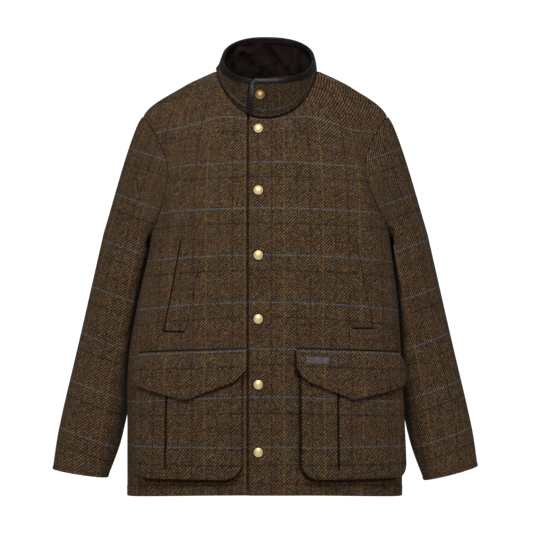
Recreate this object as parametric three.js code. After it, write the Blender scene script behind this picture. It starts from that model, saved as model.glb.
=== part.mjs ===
// A tweed field jacket, filled out as it hangs on a wearer and hollow inside. Every piece of cloth is a
// closed wall that a maker would cut and sew. Millimetres, +Z up. The front faces -Y, +X is the wearer's
// left, and the origin is the middle of the neck base.
import * as THREE from "three";

const { degToRad, lerp, smoothstep } = THREE.MathUtils;

// Thicknesses and gaps
const TWEED = 2.2;
const LINING = 1.4;
const LEATHER = 1.2;
const SEAM = 0.3;
const SLEEVE_SEAM = 0.6;

// Sections of the body from the hem up to the neck seam. front, side and back are heights, fore and aft are
// depths from the line of the sides, which lies at set; right and left are half widths. square and hind round
// the ring's front and back (2 is an ellipse), and bow holds the side's height further round the ring.
const BODY = [
  {
    at: 0.0, front: -746, side: -754, back: -757, fore: 116, aft: 124, right: 248, left: 245, set: -14,
    square: 2.35, hind: 2.3, bow: 2,
  },
  {
    at: 0.16, front: -640, side: -647, back: -648, fore: 120, aft: 126, right: 248, left: 246, set: -14,
    square: 2.35, hind: 2.3, bow: 2,
  },
  {
    at: 0.36, front: -507, side: -516, back: -512, fore: 121, aft: 129, right: 246, left: 244, set: -14,
    square: 2.4, hind: 2.3, bow: 2,
  },
  {
    at: 0.53, front: -395, side: -404, back: -398, fore: 118, aft: 132, right: 228, left: 237, set: -14,
    square: 2.4, hind: 2.3, bow: 2,
  },
  {
    at: 0.67, front: -302, side: -292, back: -285, fore: 115, aft: 134, right: 205, left: 223, set: -12,
    square: 2.45, hind: 2.25, bow: 2,
  },
  {
    at: 0.76, front: -242, side: -215, back: -205, fore: 110, aft: 132, right: 206, left: 217, set: -8,
    square: 2.45, hind: 2.15, bow: 2,
  },
  {
    at: 0.81, front: -208, side: -150, back: -148, fore: 106, aft: 126, right: 212, left: 216, set: -3,
    square: 2.25, hind: 2.0, bow: 2,
  },
  {
    at: 0.87, front: -168, side: -74, back: -86, fore: 100.5, aft: 112, right: 220, left: 219, set: 2,
    square: 1.9, hind: 1.7, bow: 2,
  },
  {
    at: 0.937, front: -124, side: -23, back: -24, fore: 87, aft: 90, right: 152, left: 156, set: 2,
    square: 1.95, hind: 1.75, bow: 1.7,
  },
  {
    at: 1.0, front: -81, side: 8, back: 24, fore: 72, aft: 72, right: 88, left: 94, set: 0,
    square: 2.2, hind: 2.2, bow: 1.55,
  },
];
const UNDERARM = 0.67;
const SHOULDER = 0.87;

// The armhole from the underarm up to the shoulder point: how far it has risen, and how many degrees it cuts
// into the front and into the back.
const ARMHOLE = [
  { at: 0.0, rise: 0.0, front: 0, back: 0 },
  { at: 0.2, rise: 0.07, front: 12, back: 12 },
  { at: 0.4, rise: 0.32, front: 26, back: 25 },
  { at: 0.6, rise: 0.64, front: 36, back: 33 },
  { at: 0.8, rise: 0.88, front: 32, back: 29 },
  { at: 0.92, rise: 0.975, front: 19, back: 17 },
  { at: 1.0, rise: 1.0, front: 0, back: 0 },
];

// The largest folds of the body, seen from the front or back: a line between two points, its half width and
// its depth, which is negative for a trough.
const FOLDS = [
  { face: "front", x0: -166, z0: -124, x1: -188, z1: -262, half: 27, depth: -7 },
  { face: "front", x0: -150, z0: -150, x1: -166, z1: -262, half: 24, depth: 3 },
  { face: "front", x0: 156, z0: -92, x1: 214, z1: -236, half: 28, depth: -7.5 },
  { face: "front", x0: 168, z0: -176, x1: 204, z1: -330, half: 26, depth: 3 },
  { face: "back", x0: -150, z0: -110, x1: -186, z1: -262, half: 30, depth: -6 },
  { face: "back", x0: 152, z0: -100, x1: 192, z1: -256, half: 28, depth: -7 },
];

const FOLD_FADE = { from: 14, to: 58 };

// Front edges: how far each front crosses the middle, and how the upper one lifts over the other.
const UNDERLAP = 12;
const OVERLAP = 29;
const LAP = { lift: TWEED + SEAM, from: 44, to: 84 };

// Sleeve sections, measured on the wearer's left: the centre of each, its reach outwards and inwards, its
// half depth, and the tilt of its plane. The cap runs from the armhole to the first section, and CAP holds
// how far its cloth keeps its direction at each end, and that direction at the underarm and at the shoulder
// point.
const SLEEVE = [
  { at: 0.2, x: 232, y: 34, z: -304, out: 64.5, in: 42, deep: 71, tilt: 16.5 },
  { at: 0.45, x: 272, y: 38, z: -473, out: 63, in: 52, deep: 66, tilt: 13 },
  { at: 0.8, x: 315, y: 14, z: -643, out: 58, in: 57, deep: 55, tilt: 12 },
  { at: 1.0, x: 333, y: 2, z: -716, out: 51, in: 50, deep: 46, tilt: 11.8 },
];
// The wearer's left cuff is turned up by so many degrees more than the mean, the right one by as many less
const CUFF_TURN = 2.9;
const CAP = { leave: 0.35, arrive: 1, low: [0.3, -0.95], high: [0.72, -0.69], firstRow: 0.02 };

// How far a sleeve keeps from the body, and the share of the body's reach over which it eases off it
const ARM_CLEARANCE = 5;
const SOFT_SHARE = 0.05;

// The seams between the top and under sleeve, in columns from the underarm, and the step over which a
// sleeve's normal is taken
const SLEEVE_SEAMS = { front: 3, back: 3 };
const WIDE = { turn: 0.2, at: 0.03 };

// The stand collar from its seam to its top edge, in the same columns as the body.
const COLLAR = [
  {
    at: 0.0, front: -80.4, side: 9, back: 24.8, fore: 72, aft: 72, right: 88, left: 94, set: 0,
    square: 2.2, hind: 2.2, bow: 1.55,
  },
  {
    at: 0.5, front: -46, side: 18.5, back: 48, fore: 69.5, aft: 69, right: 84, left: 91, set: 0,
    square: 2.25, hind: 2.25, bow: 1.3,
  },
  {
    at: 1.0, front: -13, side: 27, back: 72, fore: 63, aft: 65, right: 78, left: 87.5, set: 0,
    square: 2.3, hind: 2.3, bow: 1,
  },
];

// Where the collar's upper end, its lower end and the end of the binding lie across the front, and the
// rounding of the upper end
const COLLAR_ENDS = { over: -29, under: 42, bound: -8, corner: 14 };

// How far the lower end stands above the binding, and the degrees past the binding's end over which it rises
const TONGUE = { rise: 5, from: 1.2, to: 9.2 };
const COLLAR_LAP = { lift: 6.8, raise: 1, from: 30, to: 66 };
const BINDING = { width: 8.5, clear: 0.55, beyond: 1.8 };
const NECK_LINING_ROWS = [0.948, 0.974, 0.995];

// Press studs down the front, and the one on the collar. The dome runs through points given as shares of the
// radius and of the rise above the rim.
const STUD = { radius: 8.3, rise: 4.2, rim: 1.2, x: -12.6, sides: 14 };
const STUD_DOME = [
  { out: 1, up: 0 },
  { out: 0.82, up: 0.55 },
  { out: 0.45, up: 0.9 },
  { out: 0, up: 1 },
];
const STUD_HEIGHTS = [-100.6, -210.9, -324.9, -436.8, -551.8, -670.3];
const COLLAR_STUD = { x: -9.5, up: 0.56 };

// Hand-warmer welts: the inner and outer edges at the top and bottom, seen from the front
const WELTS = [
  {
    name: "right", side: -1, top: -298, bottom: -458,
    innerTop: 109, outerTop: 147, innerBottom: 139, outerBottom: 177,
  },
  {
    name: "left", side: 1, top: -291, bottom: -452,
    innerTop: 122, outerTop: 158, innerBottom: 151, outerBottom: 189,
  },
];
const WELT_RISE = 2.4;
const WELT_GRID = { rows: 6, columns: 3 };

// Bellows pockets, seen from the front, one row for each side of the jacket. pleat is the distance of the
// pleat's edge from the inner side, along the cloth, and point is the share of the flap's width at its point.
const POCKETS = [
  { name: "right", side: -1, inner: 41, outer: 223, pleat: 122, raised: 1, point: 0.47 },
  { name: "left", side: 1, inner: 62, outer: 237, pleat: 53, raised: -1, point: 0.43 },
];
const BAG = { gap: 0.6, bottom: -718, corner: 28, round: 9, topDepth: 9.5, lowDepth: 18, rows: 5 };
const PLEAT = { rise: 2.4, reach: 34, step: 0.9, wideColumns: 7, narrowColumns: 4 };
const FLAP = { seam: -489, outerDrop: 9, innerMargin: 7, outerMargin: 3, clear: 1.2, toMouth: 32 };
const FLAP_POINT = 0.47;
const FLAP_ROWS = [0.35, 0.7, 1];

// The flap's lower edge: its drop below the seam at each share of the way from the inner side.
const FLAP_EDGE = [
  { at: 0.0, drop: 32 },
  { at: 0.03, drop: 45 },
  { at: 0.1, drop: 57 },
  { at: 0.47, drop: 85 },
  { at: 0.94, drop: 58 },
  { at: 1.0, drop: 46 },
];

// The piping's width, and its section in shares of it
const PIPING = 2;
const PIPING_SECTION = [
  [0, 0],
  [1, 0],
  [1, 0.6],
  [0.5, 1],
  [0, 0.6],
];
const FLAP_COLUMNS = [0, 0.03, 0.06, 0.13, 0.2, 0.26, 0.36, 0.47, 0.56, 0.66, 0.76, 0.85, 0.94, 1];
const LABEL_DROPS = [13, 19, 25];
const LABEL_COLUMNS = { from: 2, to: 5 };

// Grid counts
const BODY_ROWS = { skirt: 9, armhole: 10, shoulder: 5 };
const FRONT_COLUMNS = 13;
const BACK_COLUMNS = 20;
const SLEEVE_ROWS = { cap: 6, arm: 9 };
const COLLAR_COLUMNS = 34;
const COLLAR_ROWS = 4;
const ROUND_STEPS = 3;

// Steps of the searches for a place on the cloth
const HALVINGS = 20;
const LOCATE_STEPS = 6;
const WIDTH_STEPS = 12;
const PIPING_STEPS = 12;

const EPSILON = 1e-3;
const QUARTER = Math.PI / 2;

// A smooth value of one column of a table, at a station between its rows
function column(table, name, at) {
  let i = 0;
  while (i < table.length - 2 && at > table[i + 1].at) i += 1;
  const slope = (k) => {
    const before = table[Math.max(k - 1, 0)];
    const after = table[Math.min(k + 1, table.length - 1)];
    return (after[name] - before[name]) / (after.at - before.at);
  };
  const span = table[i + 1].at - table[i].at;
  const t = (at - table[i].at) / span;
  return hermite(table[i][name], slope(i) * span, table[i + 1][name], slope(i + 1) * span, t);
}

// A cubic between two values with given slopes at its ends
function hermite(start, startSlope, end, endSlope, t) {
  const t2 = t * t;
  const t3 = t2 * t;
  const fromStart = (2 * t3 - 3 * t2 + 1) * start + (t3 - 2 * t2 + t) * startSlope;
  return fromStart + (3 * t2 - 2 * t3) * end + (t3 - t2) * endSlope;
}

// A straight value of one column of a table
function straight(table, name, at) {
  let i = 0;
  while (i < table.length - 2 && at > table[i + 1].at) i += 1;
  return lerp(table[i][name], table[i + 1][name], (at - table[i].at) / (table[i + 1].at - table[i].at));
}

// A point of a table's ring, a rounded square: its front is at angle 0, the wearer's left at a quarter turn
function ringPoint(table, angle, at) {
  const value = (name) => column(table, name, at);
  const x = Math.sin(angle);
  const y = Math.cos(angle);
  const power = value(y > 0 ? "square" : "hind");
  const reach = (Math.abs(x) ** power + Math.abs(y) ** power) ** (-1 / power);
  const half = x < 0 ? value("right") : value("left");
  const depth = y > 0 ? value("fore") : value("aft");
  const level = y > 0 ? value("front") : value("back");
  const height = lerp(value("side"), level, Math.abs(y * reach) ** value("bow"));
  return new THREE.Vector3(half * x * reach, value("set") - depth * y * reach, height);
}

// The outward normal of a surface of two parameters, over a small step or a wider one
function normalOf(surface, a, b, stepA = EPSILON, stepB = EPSILON) {
  const alongA = surface(a + stepA, b).sub(surface(a - stepA, b));
  const alongB = surface(a, b + stepB).sub(surface(a, b - stepB));
  return alongA.cross(alongB).normalize();
}

// How many millimetres a surface covers for each radian round it
function stretch(surface, angle, at) {
  return surface(angle + EPSILON, at).distanceTo(surface(angle - EPSILON, at)) / (2 * EPSILON);
}

const plainBody = (angle, at) => ringPoint(BODY, angle, at);

// The height of the folds at a point of the plain body, which fade out towards its sides
function foldHeight(point) {
  const face = point.y < 0 ? "front" : "back";
  const share = smoothstep(Math.abs(point.y), FOLD_FADE.from, FOLD_FADE.to);
  let height = 0;
  for (const fold of FOLDS) {
    if (fold.face !== face) continue;
    const along = new THREE.Vector2(fold.x1 - fold.x0, fold.z1 - fold.z0);
    const from = new THREE.Vector2(point.x - fold.x0, point.z - fold.z0);
    const nearest = THREE.MathUtils.clamp(from.dot(along) / along.lengthSq(), 0, 1);
    const away = from.sub(along.multiplyScalar(nearest)).length() / fold.half;
    if (away < 1) height += fold.depth * (1 - away * away) ** 2;
  }
  return height * share;
}

// The body's outer face, with its folds
function bodySurface(angle, at) {
  const point = plainBody(angle, at);
  return point.addScaledVector(normalOf(plainBody, angle, at), foldHeight(point));
}

// The wearer's left front lies over the right one
function frontLeftSurface(angle, at) {
  const point = plainBody(angle, at);
  const lap = LAP.lift * (1 - smoothstep(point.x, LAP.from, LAP.to));
  return point.addScaledVector(normalOf(plainBody, angle, at), foldHeight(point) + lap);
}

const frontSurface = (side) => (side < 0 ? bodySurface : frontLeftSurface);

// The angle at which a ring crosses a distance from the middle, with the sign of that distance
function angleAt(table, x, at) {
  const half = column(table, x < 0 ? "right" : "left", at);
  const power = column(table, "square", at);
  const share = (Math.abs(x) / half) ** power;
  return Math.sign(x) * Math.atan((share / (1 - share)) ** (1 / power));
}

// The station at which the body reaches a height, at one angle
function stationAt(angle, height) {
  let low = 0;
  let high = 1;
  for (let i = 0; i < HALVINGS; i += 1) {
    const middle = (low + high) / 2;
    if (plainBody(angle, middle).z < height) low = middle;
    else high = middle;
  }
  return (low + high) / 2;
}

// The angle and station of a point given by its place in the front view
function locate(x, height) {
  let angle = 0;
  let at = 0;
  for (let i = 0; i < LOCATE_STEPS; i += 1) {
    at = stationAt(angle, height);
    angle = angleAt(BODY, x, at);
  }
  return { angle, at };
}

// A closed wall between two grids of points of the same size, with rims along its open edges. A round grid
// joins its last column to its first. Rims that face each other at a seam are split along the same diagonal.
function wallGeometry(outer, inner, round = false) {
  const rows = outer.length;
  const columns = outer[0].length;
  const positions = [];
  for (const grid of [outer, inner]) {
    for (const row of grid) for (const p of row) positions.push(p.x, p.y, p.z);
  }
  const index = [];
  const place = (layer, i, j) => layer * rows * columns + i * columns + (j % columns);
  const quad = (a, b, c, d) => index.push(a, b, c, a, c, d);
  const cells = round ? columns : columns - 1;
  for (let i = 0; i < rows - 1; i += 1) {
    for (let j = 0; j < cells; j += 1) {
      quad(place(0, i, j), place(0, i, j + 1), place(0, i + 1, j + 1), place(0, i + 1, j));
      quad(place(1, i, j), place(1, i + 1, j), place(1, i + 1, j + 1), place(1, i, j + 1));
    }
  }
  for (let j = 0; j < cells; j += 1) {
    quad(place(0, 0, j), place(1, 0, j), place(1, 0, j + 1), place(0, 0, j + 1));
    const last = rows - 1;
    quad(place(0, last, j), place(0, last, j + 1), place(1, last, j + 1), place(1, last, j));
  }
  if (!round) {
    for (let i = 0; i < rows - 1; i += 1) {
      quad(place(0, i, 0), place(0, i + 1, 0), place(1, i + 1, 0), place(1, i, 0));
      quad(place(0, i, cells), place(1, i, cells), place(1, i + 1, cells), place(0, i + 1, cells));
    }
  }
  return facingOut(positions, index);
}

// A closed tube through rings of points, with its ends capped by the same triangles as its flat outline
function sweptGeometry(rings, outline) {
  const count = outline.length;
  const positions = rings.flat().flatMap((p) => [p.x, p.y, p.z]);
  const index = [];
  for (let i = 0; i < rings.length - 1; i += 1) {
    for (let j = 0; j < count; j += 1) {
      const next = (j + 1) % count;
      index.push(i * count + j, i * count + next, (i + 1) * count + next);
      index.push(i * count + j, (i + 1) * count + next, (i + 1) * count + j);
    }
  }
  const last = (rings.length - 1) * count;
  const clockwise = THREE.ShapeUtils.isClockWise(outline);
  for (const [a, b, c] of THREE.ShapeUtils.triangulateShape(outline, [])) {
    const [first, second, third] = clockwise ? [a, b, c] : [c, b, a];
    index.push(first, second, third, last + third, last + second, last + first);
  }
  return facingOut(positions, index);
}

// A geometry from positions and triangles, turned round if its faces point inwards
function facingOut(positions, index) {
  let volume = 0;
  const corner = (k) => new THREE.Vector3().fromArray(positions, 3 * index[k]);
  for (let i = 0; i < index.length; i += 3) {
    volume += corner(i).dot(corner(i + 1).cross(corner(i + 2)));
  }
  if (volume < 0) index.reverse();
  const geometry = new THREE.BufferGeometry();
  geometry.setAttribute("position", new THREE.Float32BufferAttribute(positions, 3));
  geometry.setIndex(index);
  geometry.computeVertexNormals();
  return geometry;
}

// A wall that follows a surface at the stations of a grid, from one height above it down to another
function wallOn(surface, stations, top, bottom) {
  const away = (height) =>
    stations.map((row) =>
      row.map(({ angle, at }) => surface(angle, at).addScaledVector(normalOf(surface, angle, at), height)),
    );
  return wallGeometry(away(top), away(bottom));
}

const jacket = new THREE.Group();
const materials = {
  tweed: new THREE.MeshStandardMaterial({ color: 0x6b5540, roughness: 0.95 }),
  lining: new THREE.MeshStandardMaterial({ color: 0x2e2220, roughness: 0.85 }),
  leather: new THREE.MeshStandardMaterial({ color: 0x3c302c, roughness: 0.55 }),
  brass: new THREE.MeshStandardMaterial({ color: 0xd9b877, roughness: 0.3, metalness: 1 }),
};

function addPiece(name, geometry, material) {
  const mesh = new THREE.Mesh(geometry, material);
  mesh.name = name;
  jacket.add(mesh);
  return mesh;
}

// The armhole's station up the body and its angle into the front or back, at a share of its way up
const armholeStation = (share) => lerp(UNDERARM, SHOULDER, column(ARMHOLE, "rise", share));
function armholeAngle(share, face) {
  const cut = degToRad(column(ARMHOLE, face, share));
  return face === "front" ? QUARTER - cut : QUARTER + cut;
}

// The rows of a body panel: a station up the body and the angles of its side edge, front and back
function bodyRows() {
  const rows = [];
  const plain = (at) => rows.push({ at, front: QUARTER, back: QUARTER });
  for (let i = 0; i < BODY_ROWS.skirt; i += 1) plain((UNDERARM * i) / BODY_ROWS.skirt);
  for (let i = 0; i <= BODY_ROWS.armhole; i += 1) {
    const share = i / BODY_ROWS.armhole;
    const at = armholeStation(share);
    rows.push({ at, front: armholeAngle(share, "front"), back: armholeAngle(share, "back") });
  }
  for (let i = 1; i <= BODY_ROWS.shoulder; i += 1) plain(lerp(SHOULDER, 1, i / BODY_ROWS.shoulder));
  return rows;
}

// Half the seam's gap, as an angle on the body
const halfSeam = (angle, at) => SEAM / 2 / stretch(plainBody, angle, at);

// The grid of one panel: each row runs between two angles
function panelStations(columns, edges) {
  return bodyRows().map((row) => {
    const [from, to] = edges(row);
    return Array.from({ length: columns + 1 }, (_, j) => ({
      angle: lerp(from, to, j / columns),
      at: row.at,
    }));
  });
}

function addFronts() {
  const right = panelStations(FRONT_COLUMNS, (row) => {
    const edge = -row.front;
    return [angleAt(BODY, UNDERLAP, row.at), edge + halfSeam(edge, row.at)];
  });
  addPiece("front_right", wallOn(bodySurface, right, 0, -TWEED), materials.tweed);
  const left = panelStations(FRONT_COLUMNS, (row) => [
    angleAt(BODY, -OVERLAP, row.at),
    row.front - halfSeam(row.front, row.at),
  ]);
  addPiece("front_left", wallOn(frontLeftSurface, left, 0, -TWEED), materials.tweed);
}

function addBack() {
  const stations = panelStations(BACK_COLUMNS, (row) => {
    const gap = halfSeam(row.back, row.at);
    return [row.back + gap, 2 * Math.PI - row.back - gap];
  });
  addPiece("back", wallOn(bodySurface, stations, 0, -TWEED), materials.tweed);
}

// How far out of the body a point lies, as a share of the body's own reach at its height
function bodyReach(point) {
  let low = 0;
  let high = 1;
  let reach = 0;
  let set = 0;
  for (let i = 0; i < HALVINGS; i += 1) {
    const at = (low + high) / 2;
    const value = (name) => column(BODY, name, at);
    set = value("set");
    const power = value(point.y < set ? "square" : "hind");
    const x = Math.abs(point.x) / value(point.x < 0 ? "right" : "left");
    const y = (set - point.y) / value(point.y < set ? "fore" : "aft");
    reach = (x ** power + Math.abs(y) ** power) ** (1 / power);
    const level = value(y > 0 ? "front" : "back");
    const height = lerp(value("side"), level, Math.min(Math.abs(y / reach), 1) ** value("bow"));
    if (height < point.z) low = at;
    else high = at;
  }
  return { reach, set };
}

// Moves a point of a sleeve out of the body, softly, as cloth that lies against it
function clearOfBody(point, clearance) {
  const { reach, set } = bodyReach(point);
  const across = Math.hypot(point.x, point.y - set) / reach;
  const least = 1 + clearance / across;
  const near = Math.max(0, SOFT_SHARE - Math.abs(reach - least)) / SOFT_SHARE;
  const wanted = Math.max(reach, least) + (near * near * SOFT_SHARE) / 4;
  point.x *= wanted / reach;
  point.y = set + ((point.y - set) * wanted) / reach;
  return point;
}

// The outer face of a sleeve. turn runs round it from the underarm, 0, by the front, 1, the shoulder point,
// 2, and the back, 3; at runs from the armhole, 0, to the cuff, 1.
function sleeveSurface(side) {
  const section = (turn, at) => {
    const value = (name) => column(SLEEVE, name, at);
    const angle = turn * QUARTER;
    const outwards = -Math.cos(angle) * value(Math.cos(angle) > 0 ? "in" : "out");
    const tilt = degToRad(value("tilt") + side * CUFF_TURN * at ** 4);
    return new THREE.Vector3(
      side * (value("x") + outwards * Math.cos(tilt)),
      value("y") - Math.sin(angle) * value("deep"),
      value("z") + outwards * Math.sin(tilt),
    );
  };
  const armhole = (turn) => {
    const round = ((turn % 4) + 4) % 4;
    const face = round < 2 ? "front" : "back";
    const share = round < 2 ? round / 2 : 2 - round / 2;
    return bodySurface(side * armholeAngle(share, face), armholeStation(share));
  };
  const first = SLEEVE[0];
  const cap = (turn, at) => {
    const high = (1 - Math.cos(turn * QUARTER)) / 2;
    const start = armhole(turn);
    start.x += side * SLEEVE_SEAM;
    const end = clearOfBody(section(turn, first.at), ARM_CLEARANCE);
    const reach = start.distanceTo(end);
    const tilt = degToRad(first.tilt);
    const leaveX = lerp(CAP.low[0], CAP.high[0], high);
    const leaveZ = lerp(CAP.low[1], CAP.high[1], high);
    const leave = new THREE.Vector3(side * leaveX, 0, leaveZ);
    const arrive = new THREE.Vector3(side * Math.sin(tilt), 0, -Math.cos(tilt));
    leave.multiplyScalar(CAP.leave * reach);
    arrive.multiplyScalar(CAP.arrive * reach);
    const t = at / first.at;
    const along = (axis) => hermite(start[axis], leave[axis], end[axis], arrive[axis], t);
    return new THREE.Vector3(along("x"), along("y"), along("z"));
  };
  return (turn, at) => {
    const point = at < first.at ? cap(turn, at) : section(turn, at);
    const clear = clearOfBody(point.clone(), ARM_CLEARANCE);
    return point.lerp(clear, smoothstep(at, 0, first.at / 2));
  };
}

function addSleeve(name, side) {
  const surface = sleeveSurface(side);
  const rows = [];
  for (let i = 0; i < SLEEVE_ROWS.cap; i += 1) {
    rows.push((SLEEVE[0].at * (i + CAP.firstRow)) / SLEEVE_ROWS.cap);
  }
  for (let i = 0; i <= SLEEVE_ROWS.arm; i += 1) rows.push(lerp(SLEEVE[0].at, 1, i / SLEEVE_ROWS.arm));
  const step = 2 / BODY_ROWS.armhole;
  const piece = (suffix, from, to) => {
    const stations = rows.map((at) =>
      Array.from({ length: to - from + 1 }, (_, j) => {
        const turn = (from + j) * step;
        const inwards = (j === 0) - (j === to - from);
        return { turn, angle: turn + (inwards * SEAM) / 2 / stretch(surface, turn, at), at };
      }),
    );
    const outer = stations.map((row) => row.map(({ angle, at }) => surface(angle, at)));
    const inner = stations.map((row) =>
      row.map(({ turn, angle, at }) => {
        const normal = normalOf(surface, turn, Math.max(at, WIDE.at), WIDE.turn, WIDE.at);
        return surface(angle, at).addScaledVector(normal, side * TWEED);
      }),
    );
    addPiece("sleeve_" + name + "_" + suffix, wallGeometry(outer, inner), materials.tweed);
  };
  const all = 2 * BODY_ROWS.armhole;
  piece("top", SLEEVE_SEAMS.front, all - SLEEVE_SEAMS.back);
  piece("under", -SLEEVE_SEAMS.back, SLEEVE_SEAMS.front);
}

// The collar's outer face. It starts at the end that lies on top, runs round by the wearer's left, the back
// and the right, and ends underneath.
function collarSurface(angle, at) {
  const lap = 1 - smoothstep(angle, degToRad(COLLAR_LAP.from), degToRad(COLLAR_LAP.to));
  const plain = (a, b) => ringPoint(COLLAR, a, b);
  const point = plain(angle, at).addScaledVector(normalOf(plain, angle, at), COLLAR_LAP.lift * lap);
  point.z += COLLAR_LAP.raise * lap * (1 - at);
  return point;
}

// The collar's height along the cloth at an angle
const collarHeight = (angle) => collarSurface(angle, 0).distanceTo(collarSurface(angle, 1));

// The collar's columns: an angle at each, and the share of the full height that its top edge reaches
function collarColumns() {
  const { over, under, corner } = COLLAR_ENDS;
  const start = angleAt(COLLAR, over, 0.5);
  const end = 2 * Math.PI + angleAt(COLLAR, under, 0.5);
  const roundAngle = corner / stretch(collarSurface, start, 1);
  const columns = [];
  for (let i = 0; i < ROUND_STEPS; i += 1) {
    const turn = (QUARTER * i) / ROUND_STEPS;
    const angle = start + roundAngle * (1 - Math.cos(turn));
    columns.push({ angle, top: 1 - (corner * (1 - Math.sin(turn))) / collarHeight(angle) });
  }
  for (let i = 0; i <= COLLAR_COLUMNS; i += 1) {
    columns.push({ angle: lerp(start + roundAngle, end, i / COLLAR_COLUMNS), top: 1 });
  }
  return columns;
}

// The collar's end underneath stands a little above the binding
function tongueRise(angle) {
  const bound = 2 * Math.PI + angleAt(COLLAR, COLLAR_ENDS.bound, 1);
  return TONGUE.rise * smoothstep(angle, bound + degToRad(TONGUE.from), bound + degToRad(TONGUE.to));
}

function collarStations() {
  const rows = [];
  for (let i = 0; i <= COLLAR_ROWS; i += 1) {
    rows.push(
      collarColumns().map(({ angle, top }) => {
        const reach = top + tongueRise(angle) / collarHeight(angle);
        return { angle, at: (reach * i) / COLLAR_ROWS };
      }),
    );
  }
  return rows;
}

function addCollar() {
  const stations = collarStations();
  const inside = -TWEED - SEAM;
  addPiece("collar", wallOn(collarSurface, stations, 0, -TWEED), materials.tweed);
  addPiece("collar_lining", wallOn(collarSurface, stations, inside, inside - LINING), materials.lining);
}

// The binding's route on the collar, as points of its edge and points its own width inside it, both measured
// along the cloth from the front end and from the seam
function bindingRoute() {
  const { corner } = COLLAR_ENDS;
  const inside = corner - BINDING.width;
  const route = [];
  const frontEnd = collarHeight(collarColumns()[0].angle) - corner;
  for (let i = 0; i < COLLAR_ROWS; i += 1) {
    const up = (frontEnd * i) / COLLAR_ROWS;
    route.push({ edge: [0, up], inner: [BINDING.width, up] });
  }
  for (let i = 0; i <= ROUND_STEPS; i += 1) {
    const turn = (QUARTER * i) / ROUND_STEPS;
    const out = [Math.cos(turn), Math.sin(turn)];
    const centre = [corner, frontEnd];
    route.push({
      edge: [centre[0] - corner * out[0], centre[1] + corner * out[1]],
      inner: [centre[0] - inside * out[0], centre[1] + inside * out[1]],
    });
  }
  return route;
}

function addBinding() {
  const columns = collarColumns();
  const start = columns[0].angle;
  const perAngle = stretch(collarSurface, start, 1);
  const fullHeight = collarHeight(start);
  const bound = 2 * Math.PI + angleAt(COLLAR, COLLAR_ENDS.bound, 1);
  const stack = TWEED + SEAM + LINING;
  const near = BINDING.clear;
  const far = BINDING.clear + LEATHER;
  // Each corner of the section: how far it lies from the edge, negative inside it, and its height off the
  // collar
  const section = [
    [-BINDING.width, far],
    [near, far],
    [BINDING.beyond, near],
    [BINDING.beyond, -stack - near],
    [near, -stack - far],
    [-BINDING.width, -stack - far],
    [-BINDING.width, -stack - near],
    [near, -stack - near],
    [near, near],
    [-BINDING.width, near],
  ];
  const outline = section.map(([x, y]) => new THREE.Vector2(x, y));
  const ring = (edge, inner, toAngle) =>
    section.map(([away, height]) => {
      const share = -away / BINDING.width;
      const angle = toAngle(lerp(edge[0], inner[0], share));
      const at = 1 + (lerp(edge[1], inner[1], share) - fullHeight) / collarHeight(angle);
      return collarSurface(angle, at).addScaledVector(normalOf(collarSurface, angle, at), height);
    });
  const fromFront = (along) => start + along / perAngle;
  const rings = bindingRoute().map(({ edge, inner }) => ring(edge, inner, fromFront));
  for (const { angle } of columns.slice(ROUND_STEPS + 1)) {
    if (angle > bound) break;
    rings.push(ring([0, fullHeight], [0, fullHeight - BINDING.width], () => angle));
  }
  addPiece("collar_binding", sweptGeometry(rings, outline), materials.leather);
}

// The lining that shows inside the back neck, on the back's own rows and columns
function addNeckLining() {
  const stations = NECK_LINING_ROWS.map((at) =>
    Array.from({ length: BACK_COLUMNS - 1 }, (_, j) => ({
      angle: lerp(QUARTER, 3 * QUARTER, (j + 1) / BACK_COLUMNS),
      at,
    })),
  );
  const outside = -TWEED - 2 * SEAM;
  addPiece("neck_lining", wallOn(bodySurface, stations, outside, outside - LINING), materials.lining);
}

// A domed press stud, lying on a surface
function addStud(name, surface, angle, at) {
  const { radius, rise, rim, sides } = STUD;
  const profile = [new THREE.Vector2(0, 0), new THREE.Vector2(radius, 0)];
  for (const { out, up } of STUD_DOME) profile.push(new THREE.Vector2(radius * out, lerp(rim, rise, up)));
  const stud = addPiece(name, new THREE.LatheGeometry(profile, sides), materials.brass);
  const normal = normalOf(surface, angle, at);
  stud.quaternion.setFromUnitVectors(new THREE.Vector3(0, 1, 0), normal);
  stud.position.copy(surface(angle, at)).addScaledVector(normal, SEAM);
}

function addStuds() {
  STUD_HEIGHTS.forEach((height, i) => {
    const { angle, at } = locate(STUD.x, height);
    addStud("stud_" + (i + 1), frontLeftSurface, angle, at);
  });
  const { x, up } = COLLAR_STUD;
  addStud("stud_collar", collarSurface, angleAt(COLLAR, x, up), up);
}

// A hand-warmer welt: a slanted strip on the front
function addWelt(welt) {
  const { rows, columns } = WELT_GRID;
  const stations = [];
  for (let i = 0; i <= rows; i += 1) {
    const share = i / rows;
    const inner = lerp(welt.innerBottom, welt.innerTop, share);
    const outer = lerp(welt.outerBottom, welt.outerTop, share);
    const height = lerp(welt.bottom, welt.top, share);
    const across = (j) => welt.side * lerp(inner, outer, j / columns);
    stations.push(Array.from({ length: columns + 1 }, (_, j) => locate(across(j), height)));
  }
  const surface = frontSurface(welt.side);
  addPiece("welt_" + welt.name, wallOn(surface, stations, SEAM + WELT_RISE, SEAM), materials.tweed);
}

// A place on a pocket, given along the cloth from its inner side and by its height
function pocketPlace(pocket, along, height) {
  const surface = frontSurface(pocket.side);
  const start = locate(pocket.side * pocket.inner, height).angle;
  const end = locate(pocket.side * pocket.outer, height).angle;
  const angle = lerp(start, end, along / pocketWidth(pocket));
  return { surface, angle, at: stationAt(angle, height) };
}

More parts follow.
